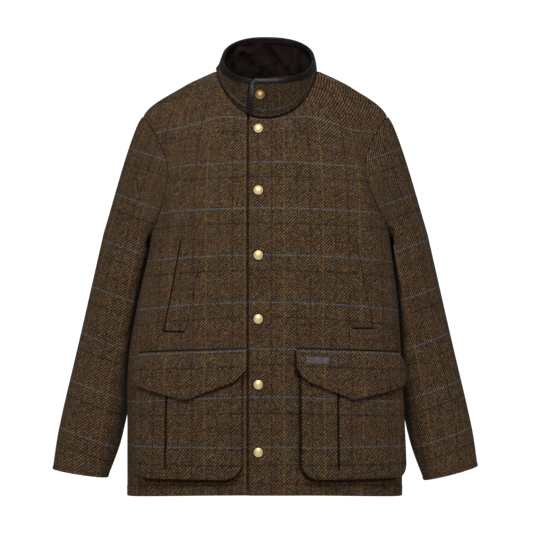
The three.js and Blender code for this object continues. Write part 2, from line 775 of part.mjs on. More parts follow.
// The width of a pocket along the cloth
function pocketWidth(pocket) {
  const height = (FLAP.seam + BAG.bottom) / 2;
  const start = locate(pocket.side * pocket.inner, height);
  const end = locate(pocket.side * pocket.outer, height);
  const point = (i) => plainBody(lerp(start.angle, end.angle, i / WIDTH_STEPS), start.at);
  let width = 0;
  for (let i = 0; i < WIDTH_STEPS; i += 1) width += point(i).distanceTo(point(i + 1));
  return width;
}

// The flap's seam drops towards the side of the jacket
const flapSeam = (share) => FLAP.seam - FLAP.outerDrop * share;

// The bag's depth off the panel at a height
function bagDepth(height) {
  const mouth = FLAP.seam - FLAP.toMouth;
  return lerp(BAG.lowDepth, BAG.topDepth, smoothstep(height, BAG.bottom, mouth));
}

// The rounded rise of a bag's side, from 0 at its edge to 1
const edgeRise = (distance) => Math.sqrt(1 - (1 - Math.min(distance / BAG.round, 1)) ** 2);

// Distances from an edge that follow its rounding
const roundSteps = Array.from({ length: ROUND_STEPS + 1 }, (_, i) => {
  const turn = (QUARTER * i) / ROUND_STEPS;
  return BAG.round * (1 - Math.cos(turn));
});

// The bag of a bellows pocket: an open-topped wall that stands off the panel, with one pleat
function addBag(pocket) {
  const width = pocketWidth(pocket);
  const { step } = PLEAT;
  const wideInside = pocket.pleat > width / 2;
  const insideColumns = wideInside ? PLEAT.wideColumns : PLEAT.narrowColumns;
  const outsideColumns = wideInside ? PLEAT.narrowColumns : PLEAT.wideColumns;
  const across = [];
  for (const d of roundSteps) across.push(d);
  const fill = (from, to, count) => {
    for (let i = 1; i < count; i += 1) across.push(lerp(from, to, i / count));
  };
  fill(BAG.round, pocket.pleat - step, insideColumns);
  across.push(pocket.pleat - step, pocket.pleat + step);
  fill(pocket.pleat + step, width - BAG.round, outsideColumns);
  for (const d of [...roundSteps].reverse()) across.push(width - d);
  const grid = (inset) => {
    const low = BAG.bottom + inset;
    const corner = BAG.corner - inset;
    const lowEdge = (side) => low + corner - Math.sqrt(corner ** 2 - Math.max(corner - side, 0) ** 2);
    const rows = roundSteps.map((d) => ({ d }));
    for (let i = 1; i <= BAG.rows; i += 1) rows.push({ share: i / BAG.rows });
    return rows.map(({ d, share }) =>
      across.map((along) => {
        const side = Math.min(along, width - along);
        const inwards = inset * (1 - (2 * along) / width);
        const place = along + inwards;
        const bottom = lowEdge(side);
        const mouth = flapSeam(along / width) - FLAP.toMouth;
        const height = share === undefined ? bottom + d : lerp(bottom + BAG.round, mouth, share);
        const rise = edgeRise(side) * edgeRise(height - bottom);
        const past = (place - pocket.pleat) * pocket.raised;
        const pleat = past > 0 ? PLEAT.rise * (1 - smoothstep(past, step, PLEAT.reach)) : 0;
        const top = bagDepth(height) - inset + pleat;
        const { surface, angle, at } = pocketPlace(pocket, place, height);
        const off = BAG.gap + (top - BAG.gap) * rise;
        return surface(angle, at).addScaledVector(normalOf(surface, angle, at), off);
      }),
    );
  };
  addPiece("pocket_" + pocket.name, wallGeometry(grid(0), grid(TWEED)), materials.tweed);
}

// The height of a flap's underside off the panel, at a drop below its seam
function flapClearance(height, drop) {
  const over = bagDepth(height) + PLEAT.rise + FLAP.clear;
  return lerp(SEAM, over, Math.sin(QUARTER * Math.min(Math.max(drop, 0) / FLAP.toMouth, 1)));
}

// A place on a flap at a share of its width and a drop below its seam. The shares are stretched on one side
// of the flap's point and pressed together on the other, so that the point comes to its place.
function flapPlace(pocket, share, drop) {
  const inside = share / FLAP_POINT;
  const outside = (1 - share) / (1 - FLAP_POINT);
  const moved = share < FLAP_POINT ? pocket.point * inside : 1 - (1 - pocket.point) * outside;
  const along = lerp(-FLAP.innerMargin, pocketWidth(pocket) + FLAP.outerMargin, moved);
  const height = flapSeam(moved) - drop;
  return { ...pocketPlace(pocket, along, height), height };
}

function flapPoint(pocket, share, drop, rise) {
  const { surface, angle, at, height } = flapPlace(pocket, share, drop);
  const off = flapClearance(height, drop) + rise;
  return surface(angle, at).addScaledVector(normalOf(surface, angle, at), off);
}

function addFlap(pocket) {
  const lowest = LABEL_DROPS[LABEL_DROPS.length - 1];
  const drops = [0, ...LABEL_DROPS].map((drop) => () => drop);
  for (const part of FLAP_ROWS) {
    drops.push((share) => lerp(lowest, straight(FLAP_EDGE, "drop", share), part));
  }
  const grid = (rise) =>
    drops.map((dropAt) => FLAP_COLUMNS.map((share) => flapPoint(pocket, share, dropAt(share), rise)));
  addPiece("flap_" + pocket.name, wallGeometry(grid(TWEED), grid(0)), materials.tweed);
}

// The piping lies on the panel, along the top of the flap
function addPiping(pocket) {
  const outline = PIPING_SECTION.map(([x, y]) => new THREE.Vector2(SEAM + PIPING * x, PIPING * y));
  const rings = Array.from({ length: PIPING_STEPS + 1 }, (_, i) =>
    outline.map(({ x, y }) => {
      const { surface, angle, at } = flapPlace(pocket, i / PIPING_STEPS, -x);
      return surface(angle, at).addScaledVector(normalOf(surface, angle, at), SEAM + y);
    }),
  );
  addPiece("piping_" + pocket.name, sweptGeometry(rings, outline), materials.leather);
}

// The bare leather patch on the wearer's left flap
function addLabel(pocket) {
  const shares = FLAP_COLUMNS.slice(LABEL_COLUMNS.from, LABEL_COLUMNS.to + 1);
  const grid = (rise) =>
    LABEL_DROPS.map((drop) => shares.map((share) => flapPoint(pocket, share, drop, TWEED + rise)));
  addPiece("label_patch", wallGeometry(grid(SEAM + LEATHER), grid(SEAM)), materials.leather);
}

addFronts();
addBack();
addSleeve("right", -1);
addSleeve("left", 1);
addCollar();
addBinding();
addNeckLining();
for (const welt of WELTS) addWelt(welt);
for (const pocket of POCKETS) {
  addBag(pocket);
  addFlap(pocket);
  addPiping(pocket);
}
addLabel(POCKETS[1]);
addStuds();

export default jacket;
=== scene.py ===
"""Looks of a tweed field jacket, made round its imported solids.

Each piece of cloth is a closed wall of its own, worked out on a grid of two parameters. Lengths in the
tables and functions are millimetres, in the frame of the solids: +Z is up, the front faces -Y and +X is the
wearer's left. A piece becomes metres when it is put into a mesh.
"""

import math

import bpy
import numpy as np
from bpy.props import FloatProperty, FloatVectorProperty, PointerProperty
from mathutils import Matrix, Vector


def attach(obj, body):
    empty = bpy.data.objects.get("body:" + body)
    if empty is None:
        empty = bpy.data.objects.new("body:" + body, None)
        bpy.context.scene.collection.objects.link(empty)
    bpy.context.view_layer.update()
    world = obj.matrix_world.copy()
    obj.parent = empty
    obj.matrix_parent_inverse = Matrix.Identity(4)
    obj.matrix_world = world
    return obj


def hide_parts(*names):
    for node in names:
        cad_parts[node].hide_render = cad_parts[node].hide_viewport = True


bl_info = {
    "name": "Tweed field jacket",
    "version": (1, 0, 0),
    "blender": (4, 5, 0),
    "location": "View3D > Sidebar > Jacket",
    "description": "Builds the cloth, leather and studs of a tweed field jacket round its solids",
    "category": "Add Mesh",
}

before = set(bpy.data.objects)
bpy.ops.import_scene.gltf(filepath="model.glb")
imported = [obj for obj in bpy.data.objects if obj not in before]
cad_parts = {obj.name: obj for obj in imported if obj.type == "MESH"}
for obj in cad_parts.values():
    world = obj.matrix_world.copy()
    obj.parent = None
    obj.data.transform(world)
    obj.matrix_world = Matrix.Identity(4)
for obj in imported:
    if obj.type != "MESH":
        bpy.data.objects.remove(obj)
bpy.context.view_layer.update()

MILLIMETRE = 0.001
QUARTER = math.pi / 2
EPSILON = 1e-3


def table(names, *rows):
    """A table of numbers as one array for each named column."""
    return dict(zip(names.split(), np.array(rows, float).T))


# Thicknesses and gaps
TWEED = 2.2
LINING = 1.4
LEATHER = 1.2
SEAM = 0.3
SLEEVE_SEAM = 0.6

# Sections of the body from the hem up to the neck seam. front, side and back are heights, fore and aft are
# depths from the line of the sides, which lies at set; right and left are half widths. square and hind round
# the ring's front and back, and bow holds the side's height further round the ring.
RING = "at front side back fore aft right left set square hind bow"
BODY = table(
    RING,
    (0.0, -746, -754, -757, 116, 124, 248, 245, -14, 2.35, 2.3, 2),
    (0.16, -640, -647, -648, 120, 126, 248, 246, -14, 2.35, 2.3, 2),
    (0.36, -507, -516, -512, 121, 129, 246, 244, -14, 2.4, 2.3, 2),
    (0.53, -395, -404, -398, 118, 132, 228, 237, -14, 2.4, 2.3, 2),
    (0.67, -302, -292, -285, 115, 134, 205, 223, -12, 2.45, 2.25, 2),
    (0.76, -242, -215, -205, 110, 132, 206, 217, -8, 2.45, 2.15, 2),
    (0.81, -208, -150, -148, 106, 126, 212, 216, -3, 2.25, 2.0, 2),
    (0.87, -168, -74, -86, 100.5, 112, 220, 219, 2, 1.9, 1.7, 2),
    (0.937, -124, -23, -24, 87, 90, 152, 156, 2, 1.95, 1.75, 1.7),
    (1.0, -81, 8, 24, 72, 72, 88, 94, 0, 2.2, 2.2, 1.55),
)
UNDERARM = 0.67
SHOULDER = 0.87

# The armhole from the underarm up to the shoulder point: how far it has risen, and how many degrees it cuts
# into the front and into the back
ARMHOLE = table(
    "at rise front back",
    (0.0, 0.0, 0, 0),
    (0.2, 0.07, 12, 12),
    (0.4, 0.32, 26, 25),
    (0.6, 0.64, 36, 33),
    (0.8, 0.88, 32, 29),
    (0.92, 0.975, 19, 17),
    (1.0, 1.0, 0, 0),
)

# The folds of the body, seen from the front or the back: a line between two points, its half width and its
# depth, which is negative for a trough. The first six are those of the solids.
FOLD = "x0 z0 x1 z1 half depth"
FRONT_FOLDS = table(
    FOLD,
    (-166, -124, -188, -262, 27, -7),
    (-150, -150, -166, -262, 24, 3),
    (156, -92, 214, -236, 28, -7.5),
    (168, -176, 204, -330, 26, 3),
    (-60, -96, -118, -186, 20, -1.6),
    (74, -104, 128, -182, 18, -1.3),
    (-196, -330, -150, -392, 20, -1.8),
    (204, -360, 150, -418, 22, -2.0),
    (-228, -452, -176, -470, 15, -1.3),
    (30, -150, 44, -300, 16, -0.9),
    (-58, -250, -46, -430, 18, -0.9),
    (86, -330, 72, -470, 20, -1.0),
)
BACK_FOLDS = table(
    FOLD,
    (-150, -110, -186, -262, 30, -6),
    (152, -100, 192, -256, 28, -7),
    (-118, -210, -60, -330, 26, -2.2),
    (126, -224, 70, -360, 24, -2.0),
    (-30, -64, 44, -74, 16, -1.5),
    (-196, -380, -110, -440, 24, -2.4),
    (200, -372, 96, -428, 26, -2.6),
    (-70, -470, -92, -720, 30, -2.2),
    (60, -500, 84, -736, 28, -2.4),
    (-160, -540, -176, -740, 26, 1.8),
    (4, -440, -8, -700, 34, 1.6),
    (158, -560, 170, -744, 26, 1.8),
)
FOLD_FADE = (14, 58)

# The upper front: how far its edge crosses the middle, and how it lifts over the other
OVERLAP = 29
LAP_LIFT = TWEED + SEAM
LAP_FADE = (44, 84)

# Sleeve sections on the wearer's left: the centre of each, its reach outwards and inwards, its half depth
# and the tilt of its plane
SLEEVE = table(
    "at x y z out in deep tilt",
    (0.2, 232, 34, -304, 64.5, 42, 71, 16.5),
    (0.45, 272, 38, -473, 63, 52, 66, 13),
    (0.8, 315, 14, -643, 58, 57, 55, 12),
    (1.0, 333, 2, -716, 51, 50, 46, 11.8),
)
CUFF_TURN = 2.9
CAP_LEAVE = 0.35
CAP_LOW = (0.3, -0.95)
CAP_HIGH = (0.72, -0.69)
CAP_FIRST = 0.004
ARM_CLEARANCE = 5
SOFT_SHARE = 0.05
WIDE_TURN = 0.2
WIDE_AT = 0.03
SLEEVE_SEAMS = (0.6, 3.4)

# Creases of a sleeve in its own coordinates: turns round it, stations along it, half width and depth. The
# front is at turn 1, the outside at 2 and the back at 3.
CREASE = "turn0 at0 turn1 at1 half depth"
SLEEVE_CREASES = table(
    CREASE,
    (0.75, 0.12, 1.35, 0.3, 18, -2.4),
    (0.7, 0.3, 1.3, 0.42, 16, -2.0),
    (0.65, 0.43, 1.2, 0.5, 15, -2.6),
    (0.7, 0.55, 1.35, 0.53, 14, -2.2),
    (0.72, 0.66, 1.25, 0.6, 14, -1.5),
    (1.5, 0.06, 1.62, 0.3, 16, -1.1),
    (1.45, 0.44, 1.7, 0.7, 18, -1.0),
    (3.3, 0.12, 2.7, 0.3, 20, -2.6),
    (3.35, 0.4, 2.75, 0.47, 16, -2.4),
    (3.3, 0.52, 2.7, 0.5, 15, -2.8),
    (3.25, 0.62, 2.8, 0.57, 14, -1.8),
    (2.4, 0.08, 2.3, 0.34, 18, -1.2),
)
CREASE_SCALE = (100, 520)

# The stand collar from its seam to its top edge, in the same columns as the body
COLLAR = table(
    RING,
    (0.0, -80.4, 9, 24.8, 72, 72, 88, 94, 0, 2.2, 2.2, 1.55),
    (0.5, -46, 18.5, 48, 69.5, 69, 84, 91, 0, 2.25, 2.25, 1.3),
    (1.0, -13, 27, 72, 63, 65, 78, 87.5, 0, 2.3, 2.3, 1),
)
COLLAR_OVER = -29
COLLAR_UNDER = 42
COLLAR_BOUND = -8
COLLAR_CORNER = 14
TONGUE_RISE = 5
TONGUE_FADE = (1.2, 9.2)
COLLAR_LIFT = 6.8
COLLAR_RAISE = 1
COLLAR_FADE = (30, 66)
BINDING_WIDTH = 8.5
BINDING_CLEAR = 0.55
BINDING_BEYOND = 1.8

# Press studs: the heights of those down the front, and the dome as shares of radius and rise
STUD_RADIUS = 8.3
STUD_RISE = 4.2
STUD_RIM = 1.2
DOME_FROM = 0.91
STUD_X = -12.6
# A flat dark disc under each stud paints its contact shadow: its radius and thickness
SHADOW_DISC_RADIUS = 9.8
SHADOW_DISC_THICK = 0.25
STUD_HEIGHTS = (-100.6, -210.9, -324.9, -436.8, -551.8, -670.3)
COLLAR_STUD = (-9.5, 0.56)

# Hand-warmer welts: side, top, bottom, the inner and outer edges at the top and bottom, and how far the
# mouth's lining shows beyond the outer edge, a dark strip that also paints the shade of the welt's edge
WELT = "side top bottom inner_top outer_top inner_bottom outer_bottom mouth"
WELTS = {
    "right": dict(zip(WELT.split(), (-1, -298, -458, 109, 147, 139, 177, 3.0))),
    "left": dict(zip(WELT.split(), (1, -291, -452, 122, 158, 151, 189, 1.4))),
}
WELT_RISE = 2.4

# Bellows pockets: the side, the inner and outer edges, the pleat's distance along the cloth, the side that
# stands over it, the share of the flap's width at its point, and how far the gusset plate, whose dark tweed
# paints the shade round the bag, shows beyond the bag's inner side and goes beside the flap
POCKET = "side inner outer pleat raised point margin flare"
POCKETS = {
    "right": dict(zip(POCKET.split(), (-1, 41, 223, 122, 1, 0.47, 0.6, 0.6))),
    "left": dict(zip(POCKET.split(), (1, 62, 237, 53, -1, 0.4, 3.4, 9.8))),
}
BAG_GAP = 0.6
BAG_BOTTOM = -718
BAG_CORNER = 28
BAG_ROUND = 9
BAG_TURN = np.array([7.5, 5.2, 2.6, 0.8, 0.0, 0.3, 1.4, 3.4, 6.0, 9.0])
BAG_RISE = np.array([0.0, 0.06, 0.2, 0.4, 0.62, 0.78, 0.89, 0.96, 0.99, 1.0])
BAG_TOP_DEPTH = 9.5
BAG_LOW_DEPTH = 18
PLEAT_RISE = 2.4
PLEAT_REACH = 34
PLEAT_STEP = 0.9
PLEAT_SLIT = (1.6, 0.58)
# The painted shade in the pleat's slit: its half width, and how far above the bag's bottom it starts
SLIT_SHADE = 1.3
SLIT_FOOT = 15
FLAP_SEAM = -489
FLAP_OUTER_DROP = 9
FLAP_INNER_MARGIN = 7
FLAP_OUTER_MARGIN = 0
FLAP_CLEAR = 1.2
FLAP_LIFT = (2.2, 34, 70)
FLAP_HOLLOW = (3.2, 3.0)
TO_MOUTH = 32
FLAP_POINT = 0.47
FLAP_EDGE = table(
    "at drop", (0.0, 32), (0.03, 45), (0.1, 57), (0.47, 85), (0.94, 58), (1.0, 46)
)
PIPING = 2
LABEL_DROPS = (13, 24.4)
LABEL_SHARES = (0.08, 0.26)

# The overcheck: its two pitches, the heights of its blue lines down the middle of the front, how far they
# hang lower towards the sides, and where the first upright line stands
PITCH_UP = 84
PITCH_ACROSS = 69
LINE_HEIGHTS = (-661.5, -573.4, -489.0, -407.7, -324.5, -242.0, -160.4, -84.1)
DROOP = table(
    "height drop",
    *((-757, 0), (-661, 0), (-573, 9.5), (-489, 13)),
    *((-407, 10.5), (-242, 8), (-160, 11), (-84, 27)),
)
DROOP_REACH = 200
DROOP_MOST = 1.4
HEM_PITCH = 97
BEYOND = 10
NECK_RISE = (9, 78, 42)
NECK_FADE = (-30, 20)
UPRIGHT_LINE = 32.8

HALVINGS = 20
LOCATE_STEPS = 6


def column(rows, name, at):
    """A smooth value of one column: a cubic between two rows, whose slope at each row is that of the chord
    between its neighbours."""
    stations, values = rows["at"], rows[name]
    last = len(stations) - 1
    order = np.arange(last + 1)
    before, after = np.maximum(order - 1, 0), np.minimum(order + 1, last)
    slopes = (values[after] - values[before]) / (stations[after] - stations[before])
    i = np.clip(np.searchsorted(stations, at) - 1, 0, last - 1)
    span = stations[i + 1] - stations[i]
    t = (at - stations[i]) / span
    return hermite(values[i], slopes[i] * span, values[i + 1], slopes[i + 1] * span, t)


def hermite(start, start_slope, end, end_slope, t):
    """A cubic between two values with given slopes at its ends."""
    t2, t3 = t * t, t * t * t
    from_start = (2 * t3 - 3 * t2 + 1) * start + (t3 - 2 * t2 + t) * start_slope
    return from_start + (3 * t2 - 2 * t3) * end + (t3 - t2) * end_slope


def lerp(start, end, share):
    """The value at a share of the way from start to end."""
    return start + (end - start) * share


def smoothstep(value, low, high):
    """0 below low, 1 above high, and 3t^2 - 2t^3 between them."""
    t = np.clip((value - low) / (high - low), 0, 1)
    return t * t * (3 - 2 * t)


def bell(distance, half):
    """1 on a line, less to both sides, as exp(-(distance / half)^2)."""
    return np.exp(-((distance / half) ** 2))


def ring_point(rows, angle, at):
    """A point of a table's ring, a rounded square |x|^p + |y|^p = 1 scaled to its half widths and depths.
    Its height runs from that of the side to that of the front or back with |y|^bow."""
    angle, at = np.broadcast_arrays(angle, at)
    x, y = np.sin(angle), np.cos(angle)
    power = np.where(y > 0, column(rows, "square", at), column(rows, "hind", at))
    reach = (np.abs(x) ** power + np.abs(y) ** power) ** (-1 / power)
    half = np.where(x < 0, column(rows, "right", at), column(rows, "left", at))
    depth = np.where(y > 0, column(rows, "fore", at), column(rows, "aft", at))
    level = np.where(y > 0, column(rows, "front", at), column(rows, "back", at))
    height = lerp(column(rows, "side", at), level, np.abs(y * reach) ** column(rows, "bow", at))
    return np.stack([half * x * reach, column(rows, "set", at) - depth * y * reach, height], -1)


def unit(vectors):
    """Vectors scaled to length 1."""
    return vectors / np.maximum(np.linalg.norm(vectors, axis=-1, keepdims=True), 1e-12)


def normal_of(surface, a, b, step_a=EPSILON, step_b=EPSILON):
    """The outward normal of a surface of two parameters: the cross product of its two central differences."""
    along_a = surface(a + step_a, b) - surface(a - step_a, b)
    along_b = surface(a, b + step_b) - surface(a, b - step_b)
    return unit(np.cross(along_a, along_b))


def plain_body(angle, at):
    """The body without its folds."""
    return ring_point(BODY, angle, at)


def fold_sum(x, z, folds):
    """The height of a table of folds at points seen in one view: depth (1 - d^2)^2 for each, where d is the
    distance from its line over its half width."""
    height = np.zeros_like(x)
    for x0, z0, x1, z1, half, depth in zip(*(folds[name] for name in FOLD.split())):
        dx, dz = x1 - x0, z1 - z0
        nearest = np.clip(((x - x0) * dx + (z - z0) * dz) / (dx * dx + dz * dz), 0, 1)
        away = np.hypot(x - x0 - nearest * dx, z - z0 - nearest * dz) / half
        height += depth * np.maximum(1 - away * away, 0) ** 2
    return height


def fold_height(point):
    """The body's folds at its plain points, which fade out towards its sides."""
    x, y, z = point[..., 0], point[..., 1], point[..., 2]
    height = np.where(y < 0, fold_sum(x, z, FRONT_FOLDS), fold_sum(x, z, BACK_FOLDS))
    return height * smoothstep(np.abs(y), *FOLD_FADE)


def body_surface(angle, at):
    """The body's outer face with its folds."""
    point = plain_body(angle, at)
    return point + normal_of(plain_body, angle, at) * fold_height(point)[..., None]


def front_left_surface(angle, at):
    """The wearer's left front, which lies over the right one near the middle."""
    point = plain_body(angle, at)
    lap = LAP_LIFT * (1 - smoothstep(point[..., 0], *LAP_FADE))
    return point + normal_of(plain_body, angle, at) * (fold_height(point) + lap)[..., None]


def front_surface(side):
    """The outer face of the front on one side."""
    return body_surface if side < 0 else front_left_surface


def angle_at(rows, x, at):
    """The angle at which a ring crosses a distance from the middle, with the sign of that distance."""
    half = np.where(np.less(x, 0), column(rows, "right", at), column(rows, "left", at))
    power = column(rows, "square", at)
    share = (np.abs(x) / half) ** power
    return np.sign(x) * np.arctan((share / (1 - share)) ** (1 / power))


def station_at(angle, height):
    """The station at which the body reaches a height, at each angle, by halving."""
    angle, height = np.broadcast_arrays(angle, np.asarray(height, float))
    low, high = np.zeros(angle.shape), np.ones(angle.shape)
    for _ in range(HALVINGS):
        middle = (low + high) / 2
        below = plain_body(angle, middle)[..., 2] < height
        low, high = np.where(below, middle, low), np.where(below, high, middle)
    return (low + high) / 2


def locate(x, height):
    """The angle and station of points given by their places in the front view."""
    x, height = np.broadcast_arrays(np.asarray(x, float), np.asarray(height, float))
    angle = np.zeros(x.shape)
    at = np.zeros(x.shape)
    for _ in range(LOCATE_STEPS):
        at = station_at(angle, height)
        angle = angle_at(BODY, x, at)
    return angle, at


def along_steps(points, axis):
    """The distance covered along one axis of a grid of points, from its first row or column."""
    steps = np.linalg.norm(np.diff(points, axis=axis), axis=-1)
    start = np.zeros_like(np.take(steps, [0], axis=axis))
    return np.concatenate([start, np.cumsum(steps, axis=axis)], axis=axis)


class ClothMap:
    """Flat cloth coordinates over the body. Across, the distance along the ring from the middle of the front
    or of the back. Up, the height with the droop of the checks at the sides, warped so that each blue line
    of the overcheck falls on a multiple of its pitch."""

    def __init__(self):
        self.angles = np.linspace(-math.pi, math.pi, 721)
        self.stations = np.linspace(0, 1, 301)
        points = plain_body(self.angles[None, :], self.stations[:, None])
        across = along_steps(points, 1)
        middle = across[:, [360]]
        self.across = across - middle
        self.half = np.stack([middle[:, 0], (across[:, -1] - middle[:, 0])], 0)
        x, z = points[..., 0], points[..., 2]
        drop = np.interp(z, DROOP["height"], DROOP["drop"])
        drop = drop * np.clip((x / DROOP_REACH) ** 2, 0, DROOP_MOST)
        rise, place, half = NECK_RISE
        rise = rise * bell(np.abs(x) - place, half) * smoothstep(z, *LINE_HEIGHTS[-2:])
        rise = rise * (1 - smoothstep(points[..., 1], *NECK_FADE))
        heights = np.array(LINE_HEIGHTS)
        low, high = heights[:1] - BEYOND * HEM_PITCH, heights[-1:] + BEYOND * PITCH_UP
        lines = np.arange(len(heights))
        lines = np.concatenate([[-BEYOND], lines, [lines[-1] + BEYOND]])
        self.up = PITCH_UP * np.interp(z + drop - rise, np.concatenate([low, heights, high]), lines)

    def sample(self, grid, angle, at):
        """A value of the map between its own rows and columns, in straight lines."""
        i = np.clip(at, 0, 1) * (len(self.stations) - 1)
        j = (angle + math.pi) / (2 * math.pi) * (len(self.angles) - 1)
        i0 = np.clip(i.astype(int), 0, len(self.stations) - 2)
        j0 = np.clip(j.astype(int), 0, len(self.angles) - 2)
        i, j = i - i0, j - j0
        low = lerp(grid[i0, j0], grid[i0, j0 + 1], j)
        high = lerp(grid[i0 + 1, j0], grid[i0 + 1, j0 + 1], j)
        return lerp(low, high, i)

    def at(self, angle, at, back=False):
        """Cloth coordinates at angles and stations, for the back measured from its own middle."""
        angle, at = np.broadcast_arrays(np.asarray(angle, float), np.asarray(at, float))
        turned = np.where(angle > math.pi, angle - 2 * math.pi, angle)
        across = self.sample(self.across, turned, at)
        if back:
            left = np.interp(at, self.stations, self.half[1])
            right = np.interp(at, self.stations, self.half[0])
            across = np.where(turned < 0, -(across + right), left - across)
        return np.stack([across - UPRIGHT_LINE, self.sample(self.up, turned, at)], -1)


CLOTH = ClothMap()


def linear(code):
    """A colour's sRGB hex code as linear light, with an alpha of 1."""
    channels = [int(code[i : i + 2], 16) / 255 for i in (1, 3, 5)]
    return [c / 12.92 if c <= 0.04045 else ((c + 0.055) / 1.055) ** 2.4 for c in channels] + [1.0]


def add_node(tree, kind, inputs=None, **settings):
    """Adds one node to a tree, with its settings and with a value or a link for each input given."""
    made = tree.nodes.new(kind)
    for name, value in settings.items():
        setattr(made, name, value)
    for name, value in (inputs or {}).items():
        if isinstance(value, bpy.types.NodeSocket):
            tree.links.new(value, made.inputs[name])
        else:
            made.inputs[name].default_value = value
    return made


def new_material(name, **values):
    """An empty material with its shader, whose constant values are set on its own sockets."""
    material = bpy.data.materials.new(name)
    material.use_nodes = True
    shader = material.node_tree.nodes["Principled BSDF"]
    for key, value in values.items():
        shader.inputs[key.replace("_", " ")].default_value = value
    return material, material.node_tree, shader


def fill_ramp(node, stops):
    """Sets a colour ramp's stops from pairs of place and linear colour."""
    ramp = node.color_ramp
    while len(ramp.elements) < len(stops):
        ramp.elements.new(1.0)
    for element, (place, colour) in zip(ramp.elements, stops):
        element.position = place
        element.color = colour


def shaded(colour, share):
    """A linear colour at a share of its light."""
    return [channel * share for channel in colour[:3]] + [1.0]


def colour_property(name, description, code):
    """A colour that a user may change, which starts as a hex code."""
    return FloatVectorProperty(
        name=name, description=description, default=linear(code), size=4, subtype="COLOR", min=0, max=1
    )


class JACKET_PG_cloth(bpy.types.PropertyGroup):
    """Sizes and colours of the cloth, leather, metal and thread"""

    twill_pitch: FloatProperty(
        name="Twill pitch",
        description="Between two diagonal lines of the twill",
        default=0.00395,
        unit="LENGTH",
    )
    rib: FloatProperty(
        name="Twill contrast",
        description="How far the twill's lines go above and below the mean tone",
        default=0.66,
        subtype="FACTOR",
    )
    fleck_length: FloatProperty(
        name="Fleck length", description="Of a fleck of yarn, along the twill", default=0.0021, unit="LENGTH"
    )
    fleck_width: FloatProperty(
        name="Fleck width", description="Of a fleck of yarn, across the twill", default=0.0011, unit="LENGTH"
    )
    blue: colour_property("Blue line", "The level lines of the overcheck that stand out", "#59676f")
    green: colour_property("Green line", "The dark level lines", "#141e1b")
    rust: colour_property("Rust line", "The red level lines", "#571a12")
    amber: colour_property("Amber line", "The pale upright lines", "#8b5a2c")
    umber: colour_property("Umber line", "The dark upright lines", "#21150f")
    wine: colour_property("Wine line", "The red upright lines", "#39140f")
    lining: colour_property("Lining", "The satin inside the body and sleeves", "#1c1512")
    moleskin: colour_property("Moleskin", "The brushed cotton inside the neck", "#2a1f1c")
    leather: colour_property("Leather", "The collar's binding and the pipings", "#181415")
    patch: colour_property("Patch", "The bare leather patch", "#6c6164")
    brass: colour_property("Brass", "The studs down the front", "#f4dca8")
    # The collar's stud takes a darker copy of the brass, painted shade
    dull_brass: colour_property("Dull brass", "The collar's stud", "#a58a58")
    thread: colour_property("Thread", "The stitching", "#463829")
    stitch_pitch: FloatProperty(
        name="Stitch pitch", description="From one stitch to the next", default=0.0034, unit="LENGTH"
    )
    stitch_length: FloatProperty(
        name="Stitch length", description="The part of a stitch that shows", default=0.0025, unit="LENGTH"
    )


# Yarn colours of the tweed by share of the cloth: dark, mid and light browns, grey-blue and ochre flecks
YARNS = (
    (0.0, "#30251c"),
    (0.14, "#3f3124"),
    (0.38, "#4a3a2a"),
    (0.62, "#584631"),
    (0.78, "#4a4844"),
    (0.85, "#6f532f"),
    (0.93, "#251b13"),
)

# Lines of the overcheck: the axis they cross, their place in the repeat, half width, colour and strength
CHECK_LINES = (
    (1, 0.0, 1.15, "blue", 0.66),
    (1, -27.0, 1.2, "green", 0.78),
    (1, -57.0, 1.3, "rust", 0.52),
    (0, 0.0, 0.85, "amber", 0.52),
    (0, 22.8, 1.1, "umber", 0.46),
    (0, 47.0, 1.4, "wine", 0.72),
)

# A Wave node has 20 / (2 pi) bands for each unit of its scale
WAVE_BAND = 2 * math.pi / 20


def check_line(tree, split, random, colour, line):
    """Mixes one line of the overcheck over a colour. The distance from the line is |fraction(v / pitch - p
    / pitch + 1/2) - 1/2| pitch, and the line is broken where the yarn's random value is low."""
    axis, place, half, name, strength = line
    thread = list(getattr(bpy.context.scene.jacket_cloth, name))
    pitch = PITCH_UP if axis else PITCH_ACROSS
    value = split.outputs["Y" if axis else "X"]
    share = add_node(
        tree, "ShaderNodeMath", {0: value, 1: 1 / pitch, 2: 0.5 - place / pitch}, operation="MULTIPLY_ADD"
    )
    part = add_node(tree, "ShaderNodeMath", {0: share.outputs[0]}, operation="FRACT")
    off = add_node(tree, "ShaderNodeMath", {0: part.outputs[0], 1: 0.5}, operation="SUBTRACT")
    away = add_node(tree, "ShaderNodeMath", {0: off.outputs[0]}, operation="ABSOLUTE")
    edge = add_node(
        tree,
        "ShaderNodeMapRange",
        {
            "Value": away.outputs[0],
            "From Min": (half - 0.5) / pitch,
            "From Max": (half + 0.5) / pitch,
            "To Min": strength,
            "To Max": 0.0,
        },
        interpolation_type="SMOOTHSTEP",
    )
    broken = add_node(
        tree,
        "ShaderNodeMapRange",
        {"Value": random, "From Min": 0.25, "From Max": 0.5, "To Min": 0.15, "To Max": 1.0},
    )
    share = add_node(
        tree, "ShaderNodeMath", {0: edge.outputs[0], 1: broken.outputs[0]}, operation="MULTIPLY"
    )
    mixed = add_node(tree, "ShaderNodeMix", {0: share.outputs[0], 6: colour, 7: thread}, data_type="RGBA")
    return mixed.outputs[2]


